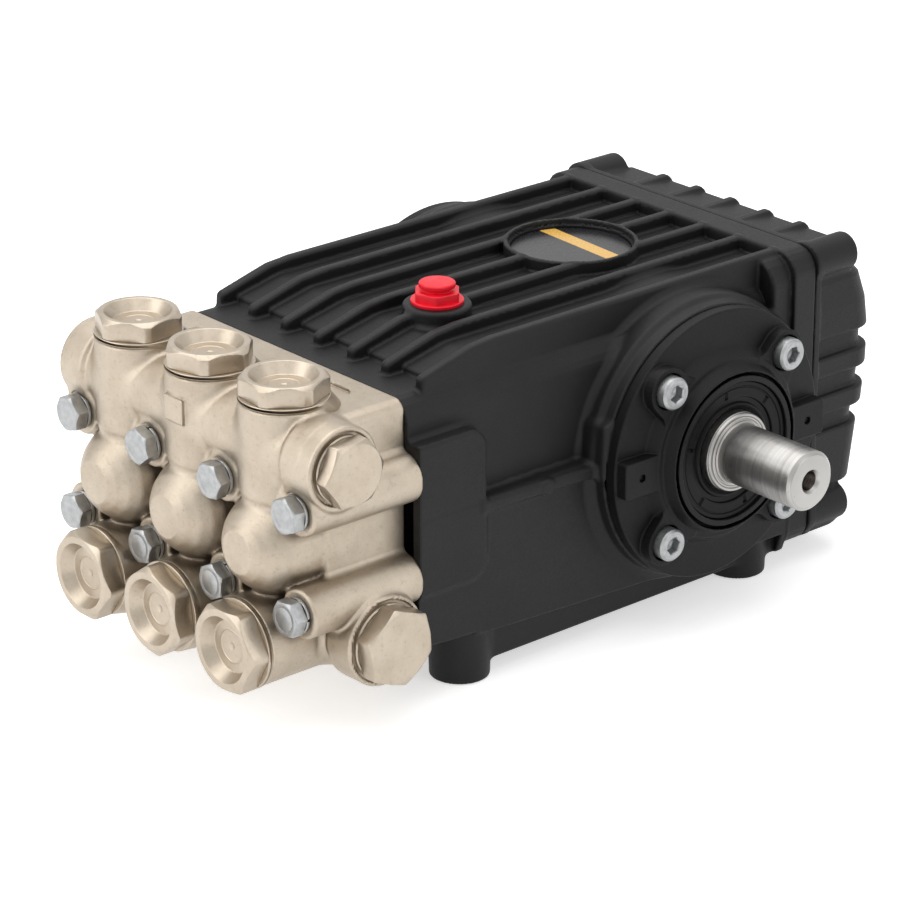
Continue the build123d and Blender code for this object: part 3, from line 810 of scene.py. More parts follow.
def rounded_line(corners: list[Pair], radius: float) -> Array:
    """Open outline with its inner corners rounded.

    Args:
        corners: (radius, height) points in order.
        radius: Radius of the arcs, less where a side is too short for it.

    Returns:
        Points of the outline, one row each.
    """
    sizes = [0.0] + [radius] * (len(corners) - 2) + [0.0]
    points = np.asarray(corners, float)
    for k in range(1, len(points) - 1):
        room = min(np.linalg.norm(points[k] - points[k - 1]), np.linalg.norm(points[k + 1] - points[k]))
        a, b = points[k - 1] - points[k], points[k + 1] - points[k]
        half = math.acos(float(np.clip(a @ b / np.linalg.norm(a) / np.linalg.norm(b), -1, 1))) / 2
        sizes[k] = min(radius, 0.45 * room * math.tan(half))
    return rounded(corners, sizes, 3)


def placed(points: Array, axis: Axis, origin: Triple, side: int = 1) -> Array:
    """Points round +Z laid along an axis instead.

    Args:
        points: Points round +Z.
        axis: Direction that +Z goes to.
        origin: Where the origin goes.
        side: -1 to point the other way along the axis.

    Returns:
        Moved points.
    """
    x, y, z = points.T
    if axis is Axis.X:
        moved = np.stack([z * side, x, y], axis=1)
    elif axis is Axis.Y:
        moved = np.stack([x, z * side, y], axis=1)
    else:
        moved = np.stack([x, y, z * side], axis=1)
    return moved + np.array(origin, float)


# Finishes

class Nodes:
    """Small helper that builds one node material."""

    def __init__(self, name: str) -> None:
        """Starts a material with a Principled shader and object coordinates.

        Args:
            name: Name of the material.
        """
        self.material = bpy.data.materials.new(name)
        self.material.use_nodes = True
        self.tree = self.material.node_tree
        self.shader = self.tree.nodes["Principled BSDF"]
        self.where = self.tree.nodes.new("ShaderNodeTexCoord").outputs["Object"]

    def link(self, a: bpy.types.NodeSocket, b: bpy.types.NodeSocket) -> None:
        """Joins two sockets."""
        self.tree.links.new(a, b)

    def noise(self, size: float, detail: float = 2.0, rough: float = 0.5,
              stretch: Triple = (1, 1, 1)) -> bpy.types.NodeSocket:
        """Noise in object space.

        Args:
            size: Size of its features in millimetres.
            detail: Finer layers.
            rough: Strength of the finer layers.
            stretch: How much longer the features are along each axis.

        Returns:
            The noise, about 0.2 to 0.8.
        """
        mapping = self.tree.nodes.new("ShaderNodeMapping")
        mapping.inputs["Scale"].default_value = tuple(1 / s for s in stretch)
        self.link(self.where, mapping.inputs["Vector"])
        node = self.tree.nodes.new("ShaderNodeTexNoise")
        node.inputs["Scale"].default_value = 1000.0 / size
        node.inputs["Detail"].default_value = detail
        node.inputs["Roughness"].default_value = rough
        self.link(mapping.outputs["Vector"], node.inputs["Vector"])
        return node.outputs["Fac"]

    def range(self, value: bpy.types.NodeSocket, start: Pair, end: Pair) -> bpy.types.NodeSocket:
        """Value mapped from one range to another.

        Args:
            value: Socket to read.
            start: Range that it comes in.
            end: Range that it goes to, clamped.

        Returns:
            The mapped socket.
        """
        node = self.tree.nodes.new("ShaderNodeMapRange")
        for key, number in zip(("From Min", "From Max", "To Min", "To Max"), (*start, *end)):
            node.inputs[key].default_value = number
        self.link(value, node.inputs["Value"])
        return node.outputs["Result"]

    def math(self, kind: str, a: bpy.types.NodeSocket,
             b: bpy.types.NodeSocket | float) -> bpy.types.NodeSocket:
        """Arithmetic on two values.

        Args:
            kind: Blender's name of the operation.
            a: First value.
            b: Second value, a socket or a number.

        Returns:
            The result.
        """
        node = self.tree.nodes.new("ShaderNodeMath")
        node.operation = kind
        self.link(a, node.inputs[0])
        if isinstance(b, (int, float)):
            node.inputs[1].default_value = b
        else:
            self.link(b, node.inputs[1])
        return node.outputs[0]

    def blend(self, share: bpy.types.NodeSocket, a: Triple | bpy.types.NodeSocket,
              b: Triple | bpy.types.NodeSocket) -> bpy.types.NodeSocket:
        """Mix of two colours.

        Args:
            share: Share of the second colour.
            a: First colour.
            b: Second colour.

        Returns:
            The mixed colour.
        """
        node = self.tree.nodes.new("ShaderNodeMix")
        node.data_type = "RGBA"
        self.link(share, node.inputs["Factor"])
        for key, colour in ((6, a), (7, b)):
            if isinstance(colour, tuple):
                node.inputs[key].default_value = (*colour, 1)
            else:
                self.link(colour, node.inputs[key])
        return node.outputs[2]

    def bump(self, height: bpy.types.NodeSocket, depth: float,
             under: bpy.types.NodeSocket | None = None) -> bpy.types.NodeSocket:
        """Bump mapping.

        Args:
            height: Socket that gives the relief.
            depth: Depth of the relief in millimetres.
            under: Coarser bump that this one lies on.

        Returns:
            The bent normal.
        """
        node = self.tree.nodes.new("ShaderNodeBump")
        node.inputs["Strength"].default_value = 1.0
        node.inputs["Distance"].default_value = depth * METRE
        self.link(height, node.inputs["Height"])
        if under is not None:
            self.link(under, node.inputs["Normal"])
        return node.outputs["Normal"]

    def value(self, key: str) -> bpy.types.NodeSocket:
        """A value that the mesh carries for each point, nought where it has none.

        Args:
            key: Name of the attribute.

        Returns:
            The value.
        """
        node = self.tree.nodes.new("ShaderNodeAttribute")
        node.attribute_name = key
        return node.outputs["Fac"]

    def mottled(self, cloud: bpy.types.NodeSocket, a: Triple, b: Triple) -> bpy.types.NodeSocket:
        """Two colours mixed by a noise."""
        return self.blend(self.range(cloud, (0.3, 0.7), (0, 1)), a, b)

    def roughness(self, grain: bpy.types.NodeSocket, limits: Pair) -> None:
        """Varies the roughness between two limits with a noise."""
        self.wire(self.range(grain, (0.3, 0.7), limits), "Roughness")

    def shaded(self, base: bpy.types.NodeSocket, shade_colour: Triple, amount: float) -> bpy.types.NodeSocket:
        """A colour that goes to another one in seams and hollows: painted shade, darkest where the solid
        fills most of the space above a point.

        Args:
            base: Colour of the open surface.
            shade_colour: Colour of the painted shade in the seams and hollows.
            amount: Its largest share.

        Returns:
            The colour.
        """
        # Painted shade: the darker colour's share grows with the mesh's occlusion values.
        hollow_shade = self.range(self.value("hollow_shade"), (0.25, 0.95), (0.0, 0.7 * amount))
        seam_shade = self.range(self.value("seam_shade"), (0.15, 0.8), (0.0, amount))
        return self.blend(self.math("MAXIMUM", hollow_shade, seam_shade), base, shade_colour)

    def set(self, **values: float | tuple[float, ...]) -> None:
        """Sets constants straight on the shader's sockets."""
        for key, value in values.items():
            self.shader.inputs[key.replace("_", " ")].default_value = value

    def wire(self, socket: bpy.types.NodeSocket, key: str) -> None:
        """Feeds one of the shader's inputs."""
        self.link(socket, self.shader.inputs[key])


@dataclass(frozen=True)
class CastPaint:
    """Matte black paint on a sand-rough die casting, with painted shade darkening its seams and hollows."""

    name: str = "black_cast_paint"
    dark: Triple = (0.0040, 0.0040, 0.0043)
    pale: Triple = (0.0075, 0.0075, 0.0080)
    seam_shade: Triple = (0.0015, 0.0015, 0.0015)
    sheen: float = 0.27

    def material(self) -> bpy.types.Material:
        """Builds the material.

        Returns:
            The material.
        """
        n = Nodes(self.name)
        cloud = n.noise(26.0, 3.0)
        grain = n.noise(0.55, 3.0, 0.6)
        base = n.mottled(cloud, self.dark, self.pale)
        # Painted shade: the paint goes near black in seams and hollows, and its specular level falls there
        # too.
        n.wire(n.shaded(base, self.seam_shade, 0.9), "Base Color")
        n.roughness(grain, (0.46, 0.62))
        gloss = n.range(n.value("seam_shade"), (0.1, 0.7), (self.sheen, 0.04))
        n.wire(gloss, "Specular IOR Level")
        orange = n.bump(n.noise(2.4, 2.0), 0.05)
        n.wire(n.bump(grain, 0.06, orange), "Normal")
        return n.material


@dataclass(frozen=True)
class BlastedNickel:
    """Blasted and nickel plated forging, pale champagne, with painted shade darkening its seams and hollows.
    """

    name: str = "blasted_nickel"
    light: Triple = (0.48, 0.415, 0.335)
    deep: Triple = (0.31, 0.255, 0.19)
    shade_colour: Triple = (0.10, 0.073, 0.05)
    grain: float = 0.55
    depth: float = 0.12
    roughness: Pair = (0.34, 0.52)
    metallic: float = 0.9

    def material(self) -> bpy.types.Material:
        """Builds the material.

        Returns:
            The material.
        """
        n = Nodes(self.name)
        stain = n.noise(14.0, 4.0, 0.6)
        grain = n.noise(self.grain, 3.0, 0.65)
        fleck = n.noise(1.8, 4.0, 0.7)
        base = n.blend(n.range(stain, (0.35, 0.7), (0.0, 0.45)), self.light, self.deep)
        base = n.blend(n.range(fleck, (0.55, 0.70), (0.0, 0.45)), base, self.deep)
        # Painted shade: the base colour goes to a dark brown in seams and hollows.
        n.wire(n.shaded(base, self.shade_colour, 0.85), "Base Color")
        n.roughness(grain, self.roughness)
        swell = n.bump(n.noise(5.0, 2.0), 0.09)
        n.wire(n.bump(grain, self.depth, swell), "Normal")
        n.set(Metallic=self.metallic)
        return n.material


@dataclass(frozen=True)
class ZincPlate:
    """Pale bluish zinc plating on screws and washers."""

    name: str = "zinc_plating"
    light: Triple = (0.41, 0.418, 0.42)
    dark: Triple = (0.30, 0.308, 0.314)
    roughness: Pair = (0.30, 0.46)

    def material(self) -> bpy.types.Material:
        """Builds the material.

        Returns:
            The material.
        """
        n = Nodes(self.name)
        cloud = n.noise(3.0, 4.0, 0.6)
        grain = n.noise(0.4, 2.0, 0.5)
        n.wire(n.blend(n.range(cloud, (0.35, 0.7), (0, 1)), self.light, self.dark), "Base Color")
        n.roughness(grain, self.roughness)
        n.wire(n.bump(grain, 0.02), "Normal")
        n.set(Metallic=0.82)
        return n.material


@dataclass(frozen=True)
class TurnedSteel:
    """Ground shaft steel with fine rings round the shaft and a few rust specks; the tapped centre hole is
    painted near black as shade.
    """

    name: str = "turned_steel"
    light: Triple = (0.42, 0.41, 0.395)
    dark: Triple = (0.23, 0.222, 0.212)
    rust: Triple = (0.10, 0.085, 0.07)
    bore_shade: Triple = (0.045, 0.038, 0.032)
    centre: Pair = (36.1, 72.5)
    hole_r: float = 3.9

    def material(self) -> bpy.types.Material:
        """Builds the material.

        Returns:
            The material.
        """
        n = Nodes(self.name)
        fine = n.noise(0.7, 4.0, 0.7, stretch=(0.16, 40, 40))
        band = n.noise(3.0, 3.0, 0.6, stretch=(0.5, 20, 20))
        speck = n.noise(0.9, 2.0, 0.5)
        base = n.blend(n.range(band, (0.35, 0.7), (0.0, 0.6)), self.light, self.dark)
        base = n.blend(n.range(speck, (0.74, 0.78), (0.0, 0.8)), base, self.rust)
        # Painted shade: points nearer the shaft's axis than hole_r, in the tapped centre hole, take a
        # near-black colour.
        split = n.tree.nodes.new("ShaderNodeSeparateXYZ")
        n.link(n.where, split.inputs["Vector"])
        legs = [n.math("POWER", n.math("SUBTRACT", split.outputs[key], at * METRE), 2.0)
                for key, at in zip("YZ", self.centre)]
        bore = n.math("LESS_THAN", n.math("ADD", *legs), (self.hole_r * METRE) ** 2)
        n.wire(n.blend(bore, base, self.bore_shade), "Base Color")
        n.roughness(fine, (0.24, 0.40))
        n.wire(n.bump(fine, 0.012), "Normal")
        n.set(Metallic=1.0)
        return n.material


@dataclass(frozen=True)
class Rubber:
    """Satin black seal rubber."""

    name: str = "seal_rubber_black"
    dark: Triple = (0.003, 0.003, 0.003)
    pale: Triple = (0.006, 0.006, 0.006)

    def material(self) -> bpy.types.Material:
        """Builds the material.

        Returns:
            The material.
        """
        n = Nodes(self.name)
        cloud = n.noise(4.0, 3.0)
        n.wire(n.mottled(cloud, self.dark, self.pale), "Base Color")
        n.roughness(cloud, (0.34, 0.46))
        n.set(Specular_IOR_Level=0.12)
        n.wire(n.bump(n.noise(0.5, 2.0), 0.015), "Normal")
        return n.material


@dataclass(frozen=True)
class RedPlastic:
    """Glossy red moulded plastic."""

    name: str = "red_moulding"
    bright: Triple = (0.84, 0.007, 0.026)
    deep: Triple = (0.74, 0.004, 0.018)

    def material(self) -> bpy.types.Material:
        """Builds the material.

        Returns:
            The material.
        """
        n = Nodes(self.name)
        cloud = n.noise(5.0, 2.0)
        n.wire(n.mottled(cloud, self.bright, self.deep), "Base Color")
        n.roughness(cloud, (0.30, 0.40))
        n.wire(n.bump(n.noise(0.8, 2.0), 0.012), "Normal")
        n.set(Specular_IOR_Level=0.28)
        return n.material


@dataclass(frozen=True)
class BlankPlate:
    """Satin black foil with one blank gold band across it."""

    name: str = "blank_nameplate"
    black: Triple = (0.012, 0.012, 0.014)
    gold: Triple = (0.72, 0.42, 0.09)
    middle: float = 41.9
    slope: float = 0.0596
    half_width: float = 3.25

    def material(self) -> bpy.types.Material:
        """Builds the material.

        Returns:
            The material.
        """
        n = Nodes(self.name)
        split = n.tree.nodes.new("ShaderNodeSeparateXYZ")
        n.link(n.where, split.inputs["Vector"])
        lean = n.math("MULTIPLY", split.outputs["X"], self.slope)
        along = n.math("SUBTRACT", n.math("ADD", split.outputs["Y"], lean), self.middle * METRE)
        band = n.math("LESS_THAN", n.math("ABSOLUTE", along, 0.0), self.half_width * METRE)
        grain = n.noise(0.6, 2.0)
        n.wire(n.blend(band, self.black, self.gold), "Base Color")
        n.roughness(grain, (0.22, 0.32))
        return n.material


@dataclass(frozen=True)
class AmberGlass:
    """Clear sight glass with oil behind it."""

    name: str = "amber_sight_glass"
    light: Triple = (0.75, 0.55, 0.20)
    deep: Triple = (0.60, 0.38, 0.10)

    def material(self) -> bpy.types.Material:
        """Builds the material.

        Returns:
            The material.
        """
        n = Nodes(self.name)
        cloud = n.noise(8.0, 2.0)
        n.wire(n.blend(cloud, self.light, self.deep), "Base Color")
        n.roughness(cloud, (0.04, 0.10))
        n.set(Coat_Weight=0.6, Coat_Roughness=0.05)
        return n.material


# Turned and hexagonal pieces

@dataclass(frozen=True)
class Place:
    """Where a turned piece stands: its axis, its seat, and the way that it points."""

    axis: Axis
    origin: Triple
    side: int = 1

    def mesh(self, name: str, rings: Rings, loop: bool = False, sharp: float = 32.0) -> bpy.types.Mesh:
        """Mesh of a ring surface, edges above an angle kept sharp.

        Args:
            name: Name of the mesh.
            rings: The rings.
            loop: Closes them round a hole instead of to poles.
            sharp: The angle in degrees.

        Returns:
            The mesh.
        """
        mesh = raw_mesh(name, *rings.solid(self.axis, self.origin, self.side, loop))
        mesh.set_sharp_from_angle(angle=math.radians(sharp))
        return mesh


@dataclass(frozen=True)
class Hexagon:
    """Sizes of a hexagon whose corners and crown are turned off."""

    across_flats: float
    corner_r: float
    crown_r: float
    slope: float

    def stand(self, rings: Rings, turn: float, low: float, high: float) -> None:
        """Adds the rings of the flats and the scalloped crown.

        Formula: the crown cone meets the flats where height = high - slope *
        (radius of the hexagon at that angle - crown radius).

        Args:
            rings: Surface that the rings go to.
            turn: Angle of one corner in degrees.
            low: Height of the foot.
            high: Height of the top face.
        """
        out = hexagon(self.across_flats, self.corner_r, turn)
        drop = np.maximum(out - self.crown_r, 0.25) * self.slope
        rings.ring(out - 0.3, low)
        rings.ring(out - 0.06, low + 0.08)
        rings.ring(out, low + 0.3)
        rings.ring(out, high - drop - 0.28)
        rings.ring(out - 0.05, high - drop - 0.05)
        rings.ring(out - 0.28, high - drop + 0.24 * self.slope)
        rings.ring(self.crown_r + 0.22, high - 0.2 * self.slope)
        rings.ring(self.crown_r, high - 0.04)
        rings.ring(self.crown_r - 0.25, high)


@dataclass
class ValveCap:
    """Dished hexagonal cap of one valve barrel, on a round collar."""

    node: str
    place: Place
    height: float
    shape: Hexagon
    collar_r: float
    turn: float
    collar_h: float = 2.1
    dish_r: float = 13.0
    floor_r: float = 10.2
    dish_depth: float = 4.4

    def build(self, finish: bpy.types.Material) -> None:
        """Meshes the cap and stands it for its node.

        Args:
            finish: Material of the cap.
        """
        rings = Rings()
        r, top = self.collar_r, self.collar_h
        rings.turned(rounded_line([(0.0, 0.0), (r - 0.9, 0.0), (r - 0.9, 0.3), (r, 0.32), (r, 1.0),
                                   (r, top - 0.15), (r - 1.2, top - 0.1)], 0.35))
        self.shape.stand(rings, self.turn, self.collar_h, self.height)
        floor = self.height - self.dish_depth
        dish = rounded_line([(self.dish_r + 0.6, self.height), (self.dish_r, self.height),
                             (self.floor_r, floor), (6.7, floor), (6.5, floor + 0.16), (6.1, floor + 0.16),
                             (5.9, floor), (1.6, floor), (0.9, floor - 0.25), (0.0, floor - 0.3)], 0.55)
        rings.turned(dish)
        rings.ring(0.0, floor - 0.3)
        dress(self.place.mesh(self.node + "_forged", rings), finish, Body.HOUSING, Slot.FORGING, self.node)


@dataclass
class PortPlug:
    """Hexagonal plug that closes a port: round collar, hexagon, turned end face."""

    node: str
    place: Place
    low: float
    high: float
    shape: Hexagon
    turn: float

    def build(self, finish: bpy.types.Material) -> None:
        """Meshes the plug and stands it for its node.

        Args:
            finish: Material of the plug.
        """
        rings = Rings()
        collar = self.shape.across_flats / 2 + 0.8
        rings.turned(rounded_line([(0.0, 0.0), (collar, 0.0), (collar, self.low - 0.9),
                                   (collar - 0.5, self.low - 0.5), (collar - 0.5, self.low)], 0.3))
        self.shape.stand(rings, self.turn, self.low, self.high)
        for radius in np.arange(self.shape.crown_r - 1.0, 1.0, -1.1):
            rings.ring(float(radius), self.high)
            rings.ring(float(radius) - 0.35, self.high - 0.035)
        rings.ring(0.0, self.high - 0.05)
        dress(self.place.mesh(self.node + "_turned", rings), finish, Body.HOUSING, Slot.FORGING, self.node)


@dataclass
class HeadBolts:
    """Eight hexagon bolts of the head with their split spring washers."""

    pitch: float = 43.6
    seat: float = -158.0
    washer_t: float = 1.7
    washer_r: float = 7.0
    shank_r: float = 4.2
    head_h: float = 5.3
    shape: Hexagon = Hexagon(13.0, 7.6, 6.25, 0.62)
    turns: tuple[tuple[str, float, tuple[float, ...]], ...] = (
        ("upper", 92.6, (14.0, 40.0, 5.0, 22.0)), ("lower", 52.1, (14.0, 13.0, 27.0, 6.0)))

    def head(self, turn: float) -> Rings:
        """Hexagon head with a faint turned circle on its face.

        Args:
            turn: Angle of one corner in degrees.

        Returns:
            Its rings.
        """
        rings = Rings()
        rings.ring(0.0, 0.0)
        self.shape.stand(rings, turn, 0.0, self.head_h)
        for radius, drop in ((4.9, 0.0), (4.75, 0.07), (4.5, 0.07), (4.35, 0.0), (0.0, 0.0)):
            rings.ring(radius, self.head_h - drop)
        return rings

    def washer(self, x: float, z: float, start: float) -> tuple[Array, list[Array]]:
        """Split ring whose two ends stand a little apart.

        Formula: a rounded rectangle swept through 352 degrees, rising 0.35 mm.

        Args:
            x: Where its bolt stands.
            z: Height of its bolt.
            start: Angle of the split in degrees.

        Returns:
            Points and groups of faces.
        """
        section = oblong((self.shank_r + 0.1, self.washer_r - 0.05), (0.0, self.washer_t - 0.4), 0.35)[::3]
        count, size = 90, len(section)
        turn = np.radians(start + np.linspace(4, 356, count))[:, None]
        rise = np.linspace(0, 0.35, count)[:, None]
        points = np.stack([section[:, 0] * np.cos(turn), section[:, 0] * np.sin(turn),
                           np.broadcast_to(section[:, 1] + rise, (count, size))], axis=-1)
        grid = np.arange(count * size).reshape(count, size)
        beside = np.roll(grid, -1, axis=1)
        quads = np.stack([grid[:-1], beside[:-1], beside[1:], grid[1:]], axis=-1).reshape(-1, 4)
        fans = [np.stack([np.full(size - 2, row[0]), row[1:-1], row[2:]], axis=1)
                for row in (grid[0][::-1], grid[-1])]
        return placed(points.reshape(-1, 3), Axis.Y, (x, self.seat, z), -1), [quads, *fans]

    def build(self, finish: bpy.types.Material) -> None:
        """Meshes the bolts and washers and stands them for their nodes.

        Args:
            finish: Material of the bolts and washers.
        """
        washers = []
        for row, z, turns in self.turns:
            for number, turn in enumerate(turns, 1):
                x = (number - 2.5) * self.pitch
                place = Place(Axis.Y, (x, self.seat - self.washer_t, z), -1)
                node = f"{row}_head_bolt_{number}"
                head = place.mesh(node + "_head", self.head(turn), sharp=26.0)
                dress(head, finish, Body.HOUSING, Slot.ZINC, node)
                washers.append(self.washer(x, z, turn * 7 + number * 80))
        mesh = raw_mesh("split_washers", *merged(washers))
        mesh.set_sharp_from_angle(angle=math.radians(40))
        dress(mesh, finish, Body.HOUSING, Slot.ZINC, "spring_washers")


@dataclass
class SocketScrews:
    """Round headed screws with hexagon sockets, all of one node."""

    node: str
    places: list[Place]
    head_r: float = 6.5
    head_h: float = 8.0
    across_flats: float = 6.0

    def head(self, turn: float) -> Rings:
        """One head: bevelled rim, countersunk mouth, hexagon socket with a drilled floor.

        Args:
            turn: Angle of one corner of the socket in degrees.

        Returns:
            Its rings.
        """
        rings = Rings()
        rings.turned(rounded_line([(0.0, 0.0), (self.head_r - 0.1, 0.0), (self.head_r, 0.6),
                                   (self.head_r, self.head_h - 1.0), (self.head_r - 0.9, self.head_h),
                                   (self.across_flats * 0.64, self.head_h)], 0.4))
        socket = hexagon(self.across_flats, self.across_flats, turn)
        rings.ring(self.across_flats * 0.60, self.head_h - 0.05)
        rings.ring(socket + 0.05, self.head_h - 0.4)
        rings.ring(socket - 0.05, self.head_h - 0.6)
        rings.ring(socket - 0.05, self.head_h * 0.52)
        rings.ring(self.across_flats * 0.44, self.head_h * 0.5)
        rings.ring(0.0, self.head_h * 0.36)
        return rings

    def build(self, finish: bpy.types.Material) -> None:
        """Meshes the heads as one piece and stands it for the node.

        Args:
            finish: Material of the screws.
        """
        heads = []
        for number, place in enumerate(self.places):
            points, faces = self.head(17.0 * number + 8).solid(place.axis, place.origin, place.side)
            if sum(signed_volume(points, f) for f in faces) < 0:
                faces = [f[:, ::-1] for f in faces]
            heads.append((points, faces))
        mesh = raw_mesh(self.node + "_heads", *merged(heads))
        mesh.set_sharp_from_angle(angle=math.radians(30))
        dress(mesh, finish, Body.HOUSING, Slot.ZINC, self.node)


@dataclass
class DriveEnd:
    """Drive shaft and the rubber seal round it, on the crank's axis."""

    centre: Pair = (36.1, 72.5)
    journal_r: float = 16.0
    journal_end: float = 96.0
    shaft_r: float = 12.0
    end: float = 134.5
    hole_r: float = 3.4
    hole_depth: float = 19.0
    seal: Triple = (84.0, 92.8, 28.0)
    ticks: tuple[float, ...] = (100.5, 43.6, -134.1, -73.3, -16.0, 165.8)

    def shaft(self, finish: bpy.types.Material) -> None:
        """Shaft with its bright journal ring, a worn shoulder groove and a tapped centre hole.

        Args:
            finish: Material of the shaft.
        """
        rings = Rings()
        r, x = self.journal_r, self.journal_end
        rings.turned(rounded_line([(0.0, 60.0), (r, 60.0), (r, x - 1.5), (r - 0.25, x - 1.4),
                                   (r - 0.25, x - 1.1), (r, x - 1.0), (r - 0.5, x), (14.6, x),
                                   (14.3, x - 0.5), (13.7, x - 0.5), (13.2, x + 0.15), (12.5, x - 0.1),
                                   (self.shaft_r, x + 0.5),
                                   (self.shaft_r, self.end - 1.4), (self.shaft_r - 1.4, self.end),
                                   (4.9, self.end), (self.hole_r + 0.2, self.end - 1.8)], 0.4))
        pitch = 1.25
        for k in range(int((self.hole_depth - 3) / pitch)):
            rings.ring(self.hole_r, self.end - 2.2 - pitch * k)
            rings.ring(self.hole_r - 0.55, self.end - 2.8 - pitch * k)
        rings.ring(0.0, self.end - self.hole_depth)
        place = Place(Axis.X, (0.0, *self.centre))
        dress(place.mesh("ground_shaft", rings, sharp=24.0), finish, Body.SHAFT, Slot.SHAFT, "drive_shaft")

    def lip_seal(self, finish: bpy.types.Material) -> None:
        """Seal ring: rim, dished face with short radial ticks, raised inner lip.

        Args:
            finish: Material of the seal.
        """
        start, face, radius = self.seal
        rings = Rings()
        turn = np.degrees(angles())
        gap = np.min([np.abs((turn - t + 180) % 360 - 180) for t in self.ticks], axis=0)
        dip = np.where(gap < 1.7, 0.7, 0.0)
        outside = radius - 0.15
        for r, x in ((17.2, start), (outside, start), (outside, face - 0.5), (radius - 0.5, face),
                     (26.1, face), (25.8, face - 0.45), (25.4, face - 0.45), (25.2, face - 0.2),
                     (25.0, face - 0.2 - dip), (22.3, face - 0.2 - dip), (22.1, face - 0.2),
                     (21.6, face - 0.3), (21.2, face - 1.1), (19.4, face - 1.3), (18.9, face - 0.5),
                     (18.2, face - 0.25), (17.6, face - 0.5), (17.1, face - 1.2), (16.15, face - 1.6),
                     (16.1, face - 2.6)):
            rings.ring(r, x)
        place = Place(Axis.X, (0.0, *self.centre))
        dress(place.mesh("shaft_lip_seal", rings, True), finish, Body.HOUSING, Slot.RUBBER, "oil_seal")


@dataclass
class FillerCap:
    """Red filler cap: flange, hexagon, undercut knob."""

    centre: Pair = (20.6, -52.5)
    seat: float = 135.0
    shape: Hexagon = Hexagon(16.6, 9.3, 8.2, 0.7)
    turn: float = 18.9

    def build(self, finish: bpy.types.Material) -> None:
        """Meshes the cap and stands it for its node.

        Args:
            finish: Material of the cap.
        """
        rings = Rings()
        rings.turned(rounded_line([(0.0, 0.0), (10.2, 0.0), (10.25, 1.2), (9.9, 1.5), (9.0, 1.5)], 0.3))
        out = hexagon(self.shape.across_flats, self.shape.corner_r, self.turn)
        rings.ring(out + 0.02, 1.52)
        rings.ring(out, 1.8)
        rings.ring(out, 4.5)
        rings.ring(out - 0.12, 4.8)
        rings.ring(out - 0.45, 4.98)
        rings.turned(rounded_line([(6.6, 5.0), (5.8, 5.0), (5.8, 5.9), (6.9, 6.3), (7.05, 6.6),
                                   (7.05, 7.8), (6.6, 8.2), (0.0, 8.2)], 0.3))
        rings.ring(0.0, 8.2)
        place = Place(Axis.Z, (*self.centre, self.seat))
        dress(place.mesh("filler_cap_moulding", rings), finish, Body.HOUSING, Slot.PLASTIC, "oil_filler_cap")


@dataclass
class RearFittings:
    """Nameplate on top, sight glass and drain plug at the back."""

    plate_seat: Triple = (0.0, 35.5, 129.8)
    plate_r: float = 24.2
    glass_seat: Triple = (0.0, 136.2, 62.0)
    bezel_r: float = 13.9
    lens_r: float = 9.3
    drain_seat: Triple = (0.0, 131.4, 36.0)
    drain: Hexagon = Hexagon(17.0, 9.7, 8.2, 0.6)
    drain_h: float = 5.9

    def nameplate(self, finish: bpy.types.Material) -> None:
        """Flat round plate in the crankcase's top ring.

        Args:
            finish: Material of the plate.
        """
        r = self.plate_r
        rings = Rings()
        rings.turned(rounded_line([(0.0, 0.0), (r, 0.0), (r, 0.6), (r - 0.4, 0.7), (0.0, 0.7)], 0.15))
        mesh = Place(Axis.Z, self.plate_seat).mesh("blank_plate", rings)
        dress(mesh, finish, Body.HOUSING, Slot.PLATE, "nameplate")

    def sight_glass(self, bezel: bpy.types.Material, glass: bpy.types.Material) -> None:
        """Bezel and lens of the oil glass.

        Args:
            bezel: Material of the bezel.
            glass: Material of the lens.
        """
        place = Place(Axis.Y, self.glass_seat)
        r = self.bezel_r
        rings = Rings()
        rings.turned(rounded_line([(0.0, -3.5), (11.0, -3.5), (11.0, 0.0), (r, 0.0), (r, 2.6),
                                   (12.6, 3.7), (9.8, 3.7), (9.4, 3.0), (9.4, 1.4), (0.0, 1.4)], 0.4))
        dress(place.mesh("glass_bezel", rings), bezel, Body.HOUSING, Slot.CASTING, "sight_glass")
        r = self.lens_r
        rings = Rings()
        rings.turned(rounded_line([(0.0, 1.2), (r, 1.2), (r, 2.2), (8.9, 2.7), (0.0, 2.9)], 0.3))
        dress(place.mesh("glass_lens", rings), glass, Body.HOUSING, Slot.GLASS)

    def drain_plug(self, finish: bpy.types.Material) -> None:
        """Hexagonal plug on a round washer.

        Args:
            finish: Material of the plug.
        """
        rings = Rings()
        rings.turned(rounded_line([(0.0, 0.0), (9.9, 0.0), (9.9, 0.9), (9.0, 1.0)], 0.2))
        self.drain.stand(rings, 0.0, 1.0, self.drain_h)
        rings.ring(0.0, self.drain_h)
        mesh = Place(Axis.Y, self.drain_seat).mesh("drain_plug_hexagon", rings)
        dress(mesh, finish, Body.HOUSING, Slot.ZINC, "drain_plug")


# Castings

